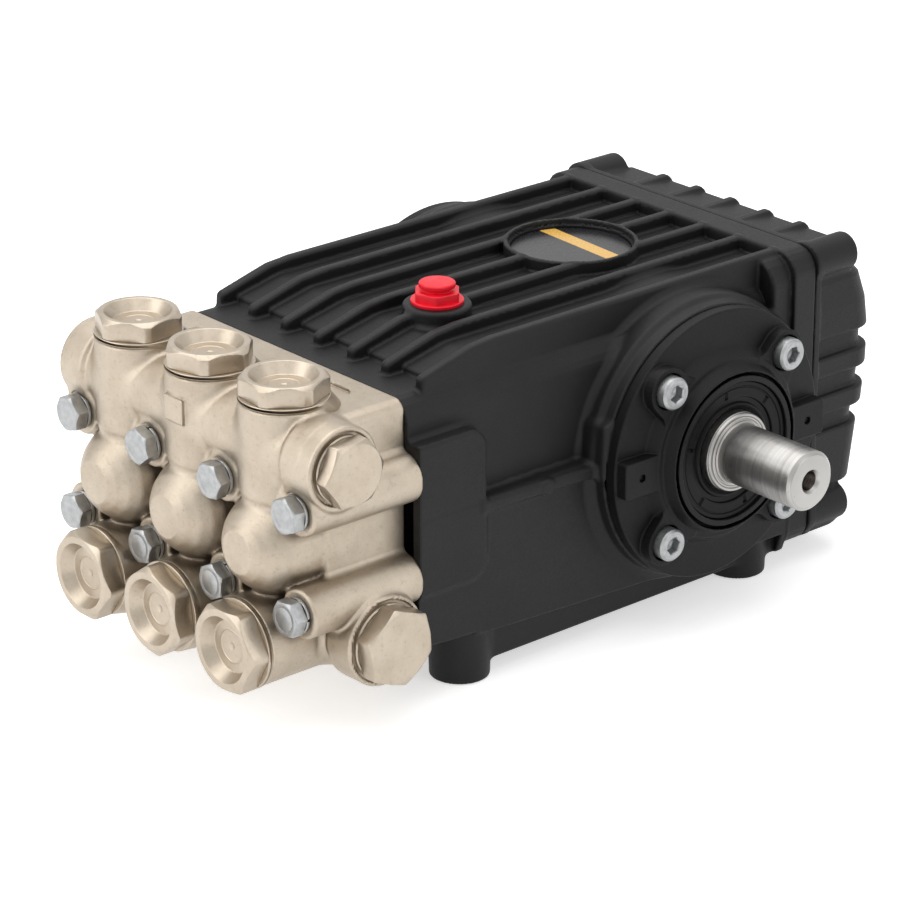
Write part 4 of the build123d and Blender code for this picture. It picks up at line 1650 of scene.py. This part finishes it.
@dataclass
class ManifoldForging:
    """The forged head: three barrels over three domes over three inlet tubes."""

    pitch: float = 43.6
    half: float = 64.4
    front: float = -144.0
    back: float = -106.5
    top: float = 122.0
    barrel_y: float = -145.7
    barrel_r: float = 17.0
    barrel_top: float = 127.0
    outlet_z: float = 109.6
    outlet_r: float = 14.7
    outlet_rings: tuple[Triple, Triple] = ((-60.0, -71.8, -73.4), (60.0, 75.5, 77.2))
    ring_r: float = 16.2
    outlet_spot_r: float = 14.2
    inlet_y: float = -126.5
    inlet_z: float = 35.9
    inlet_r: float = 16.4
    inlet_boss_r: float = 17.8
    inlet_end: float = 77.5
    inlet_seat: float = 76.4
    inlet_spot_r: float = 16.2
    tube_r: float = 17.4
    tube_end: float = -166.8
    plunger_z: float = 72.5
    dome_r: float = 20.0
    port_r: float = 9.3
    port_depth: float = 22.0
    bolt_rows: Pair = (52.1, 92.6)
    bolt_seat: float = -158.0
    bolt_boss_r: float = 9.8
    bolt_spot_r: float = 7.7

    def bolt_places(self) -> list[Pair]:
        """Where the eight bolt bosses stand, as (x, z)."""
        return [(k * self.pitch, z) for k in (-1.5, -0.5, 0.5, 1.5) for z in self.bolt_rows]

    def solid(self) -> Casting:
        """The forging as one filleted solid.

        Returns:
            The solid.
        """
        c = Casting(voxel=0.78, triangles=196000)
        side = self.half
        section = rounded([(-side, 44.0), (side, 44.0), (side, self.top), (-side, self.top)],
                          [3, 3, 4.5, 4.5])
        c.add(Prism(Axis.Y, section, (self.front, self.back + 3), 1.6))
        c.add(Slab((-self.half, -138.0, 30.0), (self.half, self.back + 3, 60.0), 3.0), 3.0)
        c.add(Barrel(Axis.X, (self.inlet_y, self.inlet_z), (-70.0, 70.0), self.inlet_r, 1.0), 4.0)
        c.add(Slab((-self.half, self.inlet_y, 23.0), (self.half, self.back + 3, 50.0), 3.0), 3.0)
        c.add(Barrel(Axis.X, (self.barrel_y, self.outlet_z), (-70.0, 70.0), self.outlet_r, 1.2), 3.0)
        for start, _, end in self.outlet_rings:
            ends = (min(start, end), max(start, end))
            c.add(Barrel(Axis.X, (self.barrel_y, self.outlet_z), ends, self.ring_r, 1.1), 2.2)
        for x in (-self.pitch, 0.0, self.pitch):
            dome = rounded([(-130.0, 0.0), (-130.0, self.dome_r), (-150.0, self.dome_r), (-155.0, 19.4),
                            (-159.5, 17.8), (-163.6, 15.1), (-166.9, 11.7), (-169.1, 8.3), (-169.1, 0.0)],
                           [0, 0, 6, 8, 8, 8, 6, 1.2, 0])
            c.add(Turning(Axis.Y, (x, self.plunger_z), dome), 1.6)
            barrel = rounded([(84.0, 0.0), (84.6, 10.0), (90.0, self.barrel_r),
                              (self.barrel_top, self.barrel_r), (self.barrel_top, 0.0)], [0, 7, 8, 1.1, 0])
            c.add(Turning(Axis.Z, (x, self.barrel_y), barrel), 2.4)
            tube = (self.tube_end, self.inlet_y)
            c.add(Barrel(Axis.Y, (x, self.inlet_z), tube, self.tube_r, 0.9), 3.4)
        for at in self.bolt_places():
            c.add(Barrel(Axis.Y, at, (self.bolt_seat, self.back + 3), self.bolt_boss_r, 1.3), 2.6)
        c.add(Slab((-5.4, -163.7, 108.9), (5.4, -155.0, 118.9), 0.5), 0.5)
        c.add(Barrel(Axis.X, (self.inlet_y, self.inlet_z), (64.0, self.inlet_end), self.inlet_boss_r, 1.2),
              2.0, both=True)
        self.drill(c)
        return c

    def drill(self, c: Casting) -> None:
        """Cuts the ports and the small pockets of the deck.

        Args:
            c: The forging.
        """
        c.cut(Slab((-90.0, self.back, 0.0), (90.0, self.back + 20, 150.0), 0.05), 0.5)
        inlet = (self.inlet_y, self.inlet_z)
        c.cut(Barrel(Axis.X, inlet, (self.inlet_seat, 90.0), self.inlet_spot_r, 0.1), 0.4, both=True)
        port = (self.inlet_seat - self.port_depth, 90.0)
        c.cut(Barrel(Axis.X, inlet, port, self.port_r, 0.2), 0.8, both=True)
        outlet = (self.barrel_y, self.outlet_z)
        for start, seat, _ in self.outlet_rings:
            side = math.copysign(1, start)
            for depth, radius in ((0.0, self.outlet_spot_r), (self.port_depth, self.port_r)):
                ends = sorted((seat - side * depth, side * 90))
                c.cut(Barrel(Axis.X, outlet, tuple(ends), radius, 0.1), 0.5)
        for at in self.bolt_places():
            c.cut(Barrel(Axis.Y, at, (-175.0, self.bolt_seat), self.bolt_spot_r, 0.5), 0.4)
        pocket = oblong((30.0, 46.0), (-124.5, -114.5), 4.0)
        c.cut(Prism(Axis.Z, pocket, (self.top - 1.2, self.top + 3), 0.4), 0.4, both=True)

    def build(self, finish: bpy.types.Material) -> None:
        """Meshes the forging and stands it for the manifold node.

        Args:
            finish: Material of the forging.
        """
        dress(cast_mesh("forged_head", self.solid()), finish, Body.HOUSING, Slot.FORGING, "manifold")
        thread = self.thread(18.0)
        for seat in ((self.outlet_rings[0][1], self.barrel_y, self.outlet_z),
                     (-self.inlet_seat, self.inlet_y, self.inlet_z)):
            mesh = raw_mesh(f"port_thread_{round(seat[2])}", *thread.solid(Axis.X, seat, -1, True))
            dress(mesh, finish, Body.HOUSING, Slot.FORGING)

    def thread(self, depth: float, pitch: float = 1.8) -> Rings:
        """Inside of a threaded port as a zigzag sleeve.

        Args:
            depth: Length of the sleeve.
            pitch: Distance from ridge to ridge.

        Returns:
            Its rings, to be closed to a loop.
        """
        rings = Rings()
        rings.ring(self.port_r + 0.4, -depth)
        rings.ring(self.port_r + 0.4, -0.9)
        for k in range(int(depth / pitch)):
            rings.ring(self.port_r - 0.02, -1.0 - pitch * k)
            rings.ring(self.port_r - 0.95, -1.0 - pitch / 2 - pitch * k)
        return rings


@dataclass
class HeadFittings:
    """Valve caps on the barrels and inlet tubes, and the plugs of the two right-hand ports."""

    forging: ManifoldForging
    outlet_shape: Hexagon = Hexagon(30.6, 16.85, 14.9, 0.8)
    outlet_h: float = 9.6
    outlet_collar_r: float = 17.05
    outlet_turns: Triple = (35.0, 15.0, -6.0)
    inlet_shape: Hexagon = Hexagon(31.6, 17.7, 15.5, 0.7)
    inlet_h: float = 10.2
    inlet_collar_r: float = 17.65
    inlet_turns: Triple = (53.0, 38.0, 1.0)
    inlet_dish: float = 4.9

    def caps(self, finish: bpy.types.Material) -> None:
        """Builds the six valve caps.

        Args:
            finish: Material of the caps.
        """
        head = self.forging
        for number, (up, down) in enumerate(zip(self.outlet_turns, self.inlet_turns), 1):
            x = (number - 2) * head.pitch
            place = Place(Axis.Z, (x, head.barrel_y, head.barrel_top))
            ValveCap(f"outlet_cap_{number}", place, self.outlet_h, self.outlet_shape,
                     self.outlet_collar_r, up).build(finish)
            place = Place(Axis.Y, (x, head.tube_end, head.inlet_z), -1)
            ValveCap(f"inlet_cap_{number}", place, self.inlet_h, self.inlet_shape,
                     self.inlet_collar_r, down, dish_depth=self.inlet_dish).build(finish)

    def plugs(self, finish: bpy.types.Material) -> None:
        """Builds the two port plugs.

        Args:
            finish: Material of the plugs.
        """
        head = self.forging
        place = Place(Axis.X, (head.outlet_rings[1][1], head.barrel_y, head.outlet_z))
        PortPlug("outlet_plug", place, 2.5, 8.9, Hexagon(24.0, 14.5, 11.7, 0.62), 64.6).build(finish)
        place = Place(Axis.X, (head.inlet_seat, head.inlet_y, head.inlet_z))
        PortPlug("inlet_plug", place, 2.0, 9.8, Hexagon(28.0, 17.0, 13.8, 0.45), 39.3).build(finish)


@dataclass
class CrankcaseCasting:
    """Ribbed black crankcase with flange, feet and bearing bosses."""

    front: float = -106.5
    rear: float = 100.5
    flange_front: float = 88.8
    base: float = 6.5
    deck: float = 121.9
    rib_top: float = 133.9
    floor: float = 128.5
    upper_half: float = 66.5
    lower_half: float = 72.3
    plate_half: float = 73.4
    rib_pitch: float = 19.8
    rib_w: float = 4.6
    shaft_y: float = 36.1
    shaft_z: float = 72.5
    boss_x: float = 79.0
    boss_r: float = 55.3
    ring_y: float = 35.5
    filler: Pair = (20.6, -52.5)
    foot: Pair = (58.4, 74.2)
    foot_r: float = 11.7

    def shell(self, c: Casting) -> None:
        """Body section, raised floor, ribs and the nameplate ring.

        Args:
            c: The crankcase.
        """
        lower, upper = self.lower_half, self.upper_half
        right = [(69.4, self.base), (lower, 16.0), (lower, 76.0), (upper, 76.2), (upper, self.deck)]
        radii = [3, 6, 1.6, 2.2, 10.5]
        section = rounded(right + [(-x, z) for x, z in reversed(right)], radii + radii[::-1])
        c.add(Prism(Axis.Y, section, (self.front - 3, self.flange_front + 1), 1.0))
        collar = oblong((-70.2, 70.2), (17.0, 132.6), 11.0)
        c.add(Prism(Axis.Y, collar, (79.0, self.flange_front + 1), 1.8), 0.6)
        half = 3 * self.rib_pitch
        c.cut(Slab((-half, 76.0, self.deck - 1), (half, self.flange_front, 140.0), 0.1), 0.3)
        skirt = np.array([(-130.0, 26.8), (-66.0, 20.6), (20.0, 16.8), (86.0, 15.4),
                          (86.0, -9.0), (-130.0, -9.0)])
        c.cut(Prism(Axis.X, skirt, (67.6, 90.0), 0.5), 0.9, both=True)
        c.cut(Slab((-90.0, -140.0, -9.0), (90.0, -78.0, 22.5), 1.0), 1.2)
        floor = rounded([(-88.0, 118.0), (-88.0, 124.2), (-68.0, self.floor), (90.0, self.floor),
                         (90.0, 118.0)], [0, 1.5, 14, 0, 0])
        c.add(Prism(Axis.X, floor, (-half, half), 0.8), 1.0)
        side = rounded([(-95.6, 118.0), (-95.2, 126.6), (-71.0, 133.0), (-60.0, self.rib_top),
                        (90.0, self.rib_top), (90.0, 118.0)], [0, 2.4, 16, 20, 0, 0])
        for k in range(-3, 4):
            x = k * self.rib_pitch
            c.add(Prism(Axis.X, side, (x - self.rib_w / 2, x + self.rib_w / 2), 1.5), 1.3)
        ring = (0.0, self.ring_y)
        c.add(Barrel(Axis.Z, ring, (self.deck, self.rib_top), 27.0, 0.7), 1.0)
        c.cut(Barrel(Axis.Z, ring, (131.9, 140.0), 25.1, 0.1), 0.5)
        c.cut(Barrel(Axis.Z, ring, (129.8, 140.0), 24.3, 0.1), 0.3)
        filler = rounded([(118.0, 0.0), (118.0, 13.9), (135.0, 13.2), (135.0, 0.0)], [0, 0, 1.3, 0])
        c.add(Turning(Axis.Z, self.filler, filler), 2.2)
        flange = oblong((-72.5, 72.5), (8.3, 133.9), 9.0)
        c.add(Prism(Axis.Y, flange, (self.flange_front, self.rear), 0.8), 1.0)

    def sides(self, c: Casting) -> None:
        """Front plates, ledges, lugs and bearing bosses, the same on both sides.

        Args:
            c: The crankcase.
        """
        plate = oblong((-106.5 - 12, -73.4), (45.3, 106.0), 8.0)
        c.add(Prism(Axis.X, plate, (60.0, self.plate_half), 1.4), 2.0, both=True)
        ledge = rounded([(60.0, -76.0), (self.plate_half + 0.2, -76.0), (76.0, -15.5), (76.0, 20.0),
                         (60.0, 20.0)], 0.5)
        c.add(Prism(Axis.Z, ledge, (71.0, 76.0), 1.6), 2.2, both=True)
        c.add(Barrel(Axis.X, (-43.7, 73.5), (66.0, self.plate_half + 1.4), 3.0, 0.8), 1.2, both=True)
        c.add(Slab((60.0, -19.0, 72.0), (self.boss_x, 4.0, 92.0), 1.8), 2.0, both=True)
        boss = rounded([(40.0, 0.0), (40.0, 57.5), (self.lower_half, 57.5), (74.6, 55.8),
                        (self.boss_x, self.boss_r), (self.boss_x, 0.0)], [0, 0, 2.5, 2.0, 0.9, 0])
        c.add(Turning(Axis.X, (self.shaft_y, self.shaft_z), boss), 3.2, both=True)
        c.cut(Slab((74.0, -18.2, 67.7), (self.boss_x + 2, -12.6, 77.3), 0.3), 0.3, both=True)
        slot = oblong((self.front - 4, self.front + 34), (52.0, 101.0), 3.0)
        c.cut(Prism(Axis.X, slot, (58.0, 69.1), 1.0), 0.8, both=True)

    def feet(self, c: Casting) -> None:
        """Four drilled feet.

        Args:
            c: The crankcase.
        """
        profile = rounded([(0.0, 0.0), (0.0, self.foot_r), (27.0, self.foot_r + 0.6), (27.0, 0.0)],
                          [0, 0.9, 0, 0])
        for sy in (-1, 1):
            centre = (self.foot[0], sy * self.foot[1])
            c.add(Turning(Axis.Z, centre, profile), 1.6, both=True)
            c.cut(Barrel(Axis.Z, centre, (-3.0, 18.0), 4.25, 0.3), 0.8, both=True)

    def build(self, finish: bpy.types.Material) -> None:
        """Meshes the crankcase and stands it for its node.

        Args:
            finish: Material of the crankcase.
        """
        c = Casting(voxel=0.88, triangles=196000)
        self.shell(c)
        self.sides(c)
        self.feet(c)
        c.cut(Slab((-90.0, self.front - 30, -5.0), (90.0, self.front, 150.0), 0.05), 0.6)
        dress(cast_mesh("crankcase_casting", c), finish, Body.HOUSING, Slot.CASTING, "crankcase")


@dataclass
class RearCoverCasting:
    """Rear cover with a lip, raised bands, wedge ribs and corner bosses."""

    front: float = 100.5
    half: float = 72.5
    heights: Pair = (8.3, 133.9)
    corner: float = 12.0
    rib_pitch: float = 19.8
    rib_w: float = 4.6
    boss_x: float = 66.0
    boss_z: Pair = (19.5, 127.0)
    boss_r: float = 7.8
    boss_end: float = 123.0
    counterbore: float = 6.2

    def screws(self) -> list[Place]:
        """Where the cover's screws stand."""
        seat = self.boss_end - self.counterbore
        return [Place(Axis.Y, (x, seat, z)) for x in (-self.boss_x, self.boss_x) for z in self.boss_z]

    def build(self, finish: bpy.types.Material) -> None:
        """Meshes the cover and stands it for its node.

        Args:
            finish: Material of the cover.
        """
        c = Casting(voxel=0.75, triangles=190000)
        core = ((12.0, 68.5, 125.0), (21.0, 68.7, 127.6), (54.0, 69.4, 132.8), (77.0, 69.6, 136.4),
                (94.0, 69.6, 136.6), (106.0, 69.6, 134.8), (117.0, 69.0, 130.8), (131.4, 68.6, 128.2))
        bands = (((10.5, 70.2, 126.5), (21.0, 70.8, 129.6)),
                 ((29.0, 71.0, 131.6), (54.0, 71.5, 135.0)),
                 ((61.0, 71.6, 137.0), (69.4, 71.8, 137.8)),
                 ((77.2, 71.8, 138.6), (85.8, 71.8, 138.9)),
                 ((93.6, 71.8, 138.9), (106.0, 71.8, 137.0), (116.9, 71.2, 133.3), (121.0, 70.4, 129.2)))
        c.add(PlanLoft(core, self.front, self.corner, 2.0))
        for band in bands:
            c.add(PlanLoft(band, self.front, self.corner, 1.3), 1.1)
        slope = rounded([(self.front - 6, 132.1), (126.6, 129.2), (134.0, 121.8), (160.0, 121.8),
                         (160.0, 160.0), (self.front - 6, 160.0)], [0, 2.5, 0, 0, 0, 0])
        c.cut(Prism(Axis.X, slope, (-90.0, 90.0), 0.1), 1.0)
        side = rounded([(self.front + 1, 118.0), (self.front + 1, 131.0), (125.8, 131.4),
                        (127.8, 129.6), (129.0, 118.0)], [0, 0, 1.4, 1.4, 0])
        for k in range(-2, 3):
            x = k * self.rib_pitch
            c.add(Prism(Axis.X, side, (x - self.rib_w / 2, x + self.rib_w / 2), 1.2), 1.1)
        lip = oblong((-self.half, self.half), self.heights, 9.0)
        c.add(Prism(Axis.Y, lip, (self.front + 0.1, self.front + 3.6), 0.8), 0.8)
        for z in self.boss_z:
            at, end = (self.boss_x, z), self.boss_end
            c.add(Barrel(Axis.Y, at, (self.front + 0.1, end), self.boss_r, 1.0), 1.6, both=True)
            c.cut(Barrel(Axis.Y, at, (end - self.counterbore, end + 5), 5.5, 0.1), 0.5, both=True)
        c.cut(Barrel(Axis.Y, (0.0, 62.0), (136.2, 150.0), 14.2, 0.1), 0.8)
        c.cut(Barrel(Axis.Y, (0.0, 36.0), (131.4, 150.0), 10.6, 0.1), 0.8)
        c.cut(Slab((-90.0, 80.0, 0.0), (90.0, self.front + 0.1, 150.0), 0.05), 0.4)
        dress(cast_mesh("rear_cover_casting", c), finish, Body.HOUSING, Slot.CASTING, "rear_cover")


@dataclass
class BearingCover:
    """Round bearing cover with four screw lugs and two ears."""

    centre: Pair = (36.1, 72.5)
    radius: float = 54.5
    rim_x: float = 84.0
    back_x: float = 79.1
    hub_x: float = 94.0
    hub_r: float = 32.4
    flat_x: float = 89.2
    offset: float = 31.3
    lug_r: float = 9.3
    ear_z: Pair = (64.5, 79.3)
    ear_reach: float = 53.6
    screw_seat: float = 85.2

    def screws(self, side: int) -> list[Place]:
        """Where the four screws of one cover stand.

        Args:
            side: 1 for the right-hand cover, -1 for the left-hand one.

        Returns:
            Their places.
        """
        y, z = self.centre
        return [Place(Axis.X, (side * self.screw_seat, y + dy, z + dz), side)
                for dy in (-self.offset, self.offset) for dz in (-self.offset, self.offset)]

    def lug(self, dy: int, dz: int) -> Prism:
        """Ring round one screw with flanks that run in to the hub flat.

        Args:
            dy: -1 or 1, side of the screw in Y.
            dz: -1 or 1, side of the screw in Z.

        Returns:
            The lug.
        """
        reach = self.offset * math.sqrt(2)
        line = [(26.0, -9.0), (34.5, -11.5), (38.5, -9.6), (reach, -self.lug_r)]
        turn = [math.radians(t) for t in np.linspace(-80, 80, 15)]
        arc = [(reach + self.lug_r * math.cos(t), self.lug_r * math.sin(t)) for t in turn]
        flat = np.array(line + arc + [(u, -v) for u, v in reversed(line)])
        out, side = np.array([dy, dz]) / math.sqrt(2), np.array([-dz, dy]) / math.sqrt(2)
        outline = flat[:, :1] * out + flat[:, 1:] * side + np.array(self.centre)
        return Prism(Axis.X, outline, (self.rim_x - 3, self.flat_x), 0.45)

    def solid(self, bored: bool) -> Casting:
        """The right-hand cover, bored for the seal or closed.

        Args:
            bored: Bored through for the shaft and its seal.

        Returns:
            The solid.
        """
        c = Casting(voxel=0.55, triangles=150000)
        face = rounded([(self.back_x, 0.0), (self.back_x, self.radius), (self.rim_x, self.radius),
                        (self.rim_x + 0.8, 40.0), (self.flat_x, 36.6), (self.flat_x, 34.4),
                        (self.hub_x, self.hub_r), (self.hub_x, 0.0)], [0, 0.3, 0.8, 1.6, 0.9, 1.2, 0.4, 0])
        c.add(Turning(Axis.X, self.centre, face))
        y, z = self.centre
        for dy in (-1, 1):
            ear = oblong(tuple(sorted((y + dy * 30.0, y + dy * self.ear_reach))), self.ear_z, 1.4)
            c.add(Prism(Axis.X, ear, (self.rim_x - 3, self.flat_x), 0.45), 0.6)
            for dz in (-1, 1):
                c.add(self.lug(dy, dz), 0.7)
        for dy in (-1, 1):
            for dz in (-1, 1):
                at = (y + dy * self.offset, z + dz * self.offset)
                c.cut(Barrel(Axis.X, at, (self.screw_seat, 99.0), 7.25, 0.1), 0.4)
            c.cut(Barrel(Axis.X, (y + dy * 44.7, z - 0.7), (88.0, 99.0), 1.6, 0.1), 0.3)
        ring = np.array([(self.hub_x - 2.4, 30.4), (self.hub_x + 2, 30.4), (self.hub_x + 2, 31.7),
                         (self.hub_x - 2.4, 31.7)])
        c.cut(Turning(Axis.X, self.centre, ring), 0.2)
        if bored:
            c.cut(Barrel(Axis.X, self.centre, (84.2, 99.0), 28.0, 0.1), 0.3)
            c.cut(Barrel(Axis.X, self.centre, (70.0, 99.0), 17.0, 0.1), 0.3)
        else:
            c.cut(Barrel(Axis.X, self.centre, (self.hub_x - 2.0, 99.0), 27.0, 0.1), 0.4)
        return c

    def build(self, finish: bpy.types.Material) -> None:
        """Meshes both covers; the left one is closed and mirrored.

        Args:
            finish: Material of the covers.
        """
        dress(cast_mesh("right_bearing_cap", self.solid(True)), finish, Body.HOUSING, Slot.CASTING,
              "right_bearing_cover")
        closed = self.solid(False)
        closed.steps = [Step(Flipped(s.shape), s.radius, s.cut) for s in closed.steps]
        dress(cast_mesh("left_bearing_cap", closed), finish, Body.HOUSING, Slot.CASTING, "left_bearing_cover")


def dress(mesh: bpy.types.Mesh, finish: bpy.types.Material, body: Body, slot: Slot,
          *nodes: str) -> bpy.types.Object:
    """Puts a mesh into the scene as one piece of the pump.

    Args:
        mesh: Mesh in metres, already in place.
        finish: Its material.
        body: Body that it rides on.
        slot: The record's slot of the piece; not used.
        nodes: Nodes of the frame that it stands for.

    Returns:
        The object.
    """
    mesh.materials.clear()
    mesh.materials.append(finish)
    piece = bpy.data.objects.new(mesh.name, mesh)
    bpy.context.collection.objects.link(piece)
    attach(piece, body.value)
    if nodes:
        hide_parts(*nodes)
    LOG.info("%s: %d faces", mesh.name, len(mesh.polygons))
    return piece


@dataclass(frozen=True)
class Lamp:
    """One soft rectangular lamp: place and size in metres, power in watts."""

    name: str
    place: Triple
    size: Pair
    power: float


@dataclass
class PhotoStage:
    """Camera at the photograph's angle, soft lamps, pale floor and white background, in metres."""

    azimuth: float = 48.922
    elevation: float = 22.490
    place: Triple = (1.09628, -0.98369, 0.66316)
    lens: float = 160.0
    aim: Triple = (0.0, -0.01, 0.07)
    lamps: tuple[Lamp, ...] = (Lamp("top_softbox", (-0.2, -0.1, 1.5), (2.0, 2.0), 21.5),
                               Lamp("front_softbox", (-0.6, -1.7, 0.8), (1.5, 1.5), 12.5),
                               Lamp("side_softbox", (1.7, 0.5, 0.9), (1.1, 1.4), 6.2))
    sky: Pair = (0.40, 1.0)
    floor_half: float = 6.0
    floor_drop: float = 0.0002
    floor_glow: float = 0.56

    def camera(self) -> None:
        """Creates the camera."""
        az, el = math.radians(self.azimuth), math.radians(self.elevation)
        back = Vector((math.sin(az) * math.cos(el), -math.cos(az) * math.cos(el), math.sin(el)))
        data = bpy.data.cameras.new("photo_camera")
        data.sensor_width = 36.0
        data.lens = self.lens
        data.clip_start, data.clip_end = 0.05, 20.0
        camera = bpy.data.objects.new("photo_camera", data)
        bpy.context.collection.objects.link(camera)
        camera.location = self.place
        camera.rotation_mode = "QUATERNION"
        camera.rotation_quaternion = (-back).to_track_quat("-Z", "Y")
        bpy.context.scene.camera = camera

    def hang(self, lamp: Lamp) -> None:
        """Adds one lamp, aimed at the pump.

        Args:
            lamp: The lamp.
        """
        data = bpy.data.lights.new(lamp.name, "AREA")
        data.shape = "RECTANGLE"
        data.size, data.size_y = lamp.size
        data.energy = lamp.power
        hung = bpy.data.objects.new(lamp.name, data)
        bpy.context.collection.objects.link(hung)
        hung.location = lamp.place
        hung.rotation_mode = "QUATERNION"
        hung.rotation_quaternion = (Vector(self.aim) - Vector(lamp.place)).to_track_quat("-Z", "Y")

    def seen(self, tree: bpy.types.NodeTree, other: float, seen: float) -> bpy.types.NodeSocket:
        """One strength for camera, glossy and transmission rays, another for the rest.

        Args:
            tree: Nodes that it goes to.
            other: Strength for the rest.
            seen: Strength for rays that show the background.

        Returns:
            The strength.
        """
        path = tree.nodes.new("ShaderNodeLightPath")
        share = path.outputs["Is Camera Ray"]
        for kind in ("Is Glossy Ray", "Is Transmission Ray"):
            either = tree.nodes.new("ShaderNodeMath")
            either.operation = "MAXIMUM"
            tree.links.new(share, either.inputs[0])
            tree.links.new(path.outputs[kind], either.inputs[1])
            share = either.outputs[0]
        strength = tree.nodes.new("ShaderNodeMapRange")
        strength.inputs["To Min"].default_value = other
        strength.inputs["To Max"].default_value = seen
        tree.links.new(share, strength.inputs["Value"])
        return strength.outputs["Result"]

    def world(self) -> None:
        """White where the camera, metal or glass looks past the pump, soft grey light elsewhere."""
        world = bpy.data.worlds.new("studio")
        bpy.context.scene.world = world
        world.use_nodes = True
        tree = world.node_tree
        background = tree.nodes["Background"]
        background.inputs["Color"].default_value = (1, 1, 1, 1)
        tree.links.new(self.seen(tree, *self.sky), background.inputs["Strength"])

    def floor(self) -> None:
        """Pale floor that keeps the pump's shadow and reads white elsewhere."""
        side, height = self.floor_half, -self.floor_drop
        mesh = bpy.data.meshes.new("floor")
        corners = [(-side, -side, height), (side, -side, height), (side, side, height), (-side, side, height)]
        mesh.from_pydata(corners, [], [(0, 1, 2, 3)])
        material = bpy.data.materials.new("pale_floor")
        material.use_nodes = True
        shader = material.node_tree.nodes["Principled BSDF"]
        shader.inputs["Base Color"].default_value = (0.93, 0.93, 0.93, 1)
        shader.inputs["Roughness"].default_value = 0.9
        shader.inputs["Specular IOR Level"].default_value = 0.0
        shader.inputs["Emission Color"].default_value = (1, 1, 1, 1)
        tree = material.node_tree
        tree.links.new(self.seen(tree, 0.0, self.floor_glow), shader.inputs["Emission Strength"])
        mesh.materials.append(material)
        floor = bpy.data.objects.new("floor", mesh)
        bpy.context.collection.objects.link(floor)

    def build(self) -> None:
        """Creates everything round the pump."""
        self.camera()
        for lamp in self.lamps:
            self.hang(lamp)
        self.world()
        self.floor()
        bpy.context.scene.view_settings.view_transform = "Standard"


def main() -> None:
    """Builds the pump's pieces in order."""
    logging.basicConfig(level=logging.INFO, format="%(name)s %(message)s")
    PhotoStage().build()
    paint = CastPaint().material()
    nickel = BlastedNickel().material()
    cap_metal = BlastedNickel("machined_nickel", grain=0.35, depth=0.02, roughness=(0.28, 0.42)).material()
    zinc = ZincPlate().material()
    steel = TurnedSteel().material()
    rubber = Rubber().material()
    red = RedPlastic().material()
    forging = ManifoldForging()
    forging.build(nickel)
    fittings = HeadFittings(forging)
    fittings.caps(cap_metal)
    fittings.plugs(cap_metal)
    HeadBolts().build(zinc)
    CrankcaseCasting().build(paint)
    rear = RearCoverCasting()
    rear.build(paint)
    cover = BearingCover()
    cover.build(CastPaint("cover_paint", dark=(0.0028, 0.0028, 0.0031), pale=(0.0052, 0.0052, 0.0056),
                          sheen=0.20).material())
    SocketScrews("right_cover_screws", cover.screws(1)).build(zinc)
    SocketScrews("left_cover_screws", cover.screws(-1)).build(zinc)
    SocketScrews("rear_cover_screws", rear.screws(), 5.0, 6.0, 5.0).build(zinc)
    drive = DriveEnd()
    drive.lip_seal(rubber)
    drive.shaft(steel)
    FillerCap().build(red)
    plate, glass = BlankPlate().material(), AmberGlass().material()
    back = RearFittings()
    back.nameplate(plate)
    back.sight_glass(rubber, glass)
    back.drain_plug(zinc)


if __name__ == "__main__":
    main()
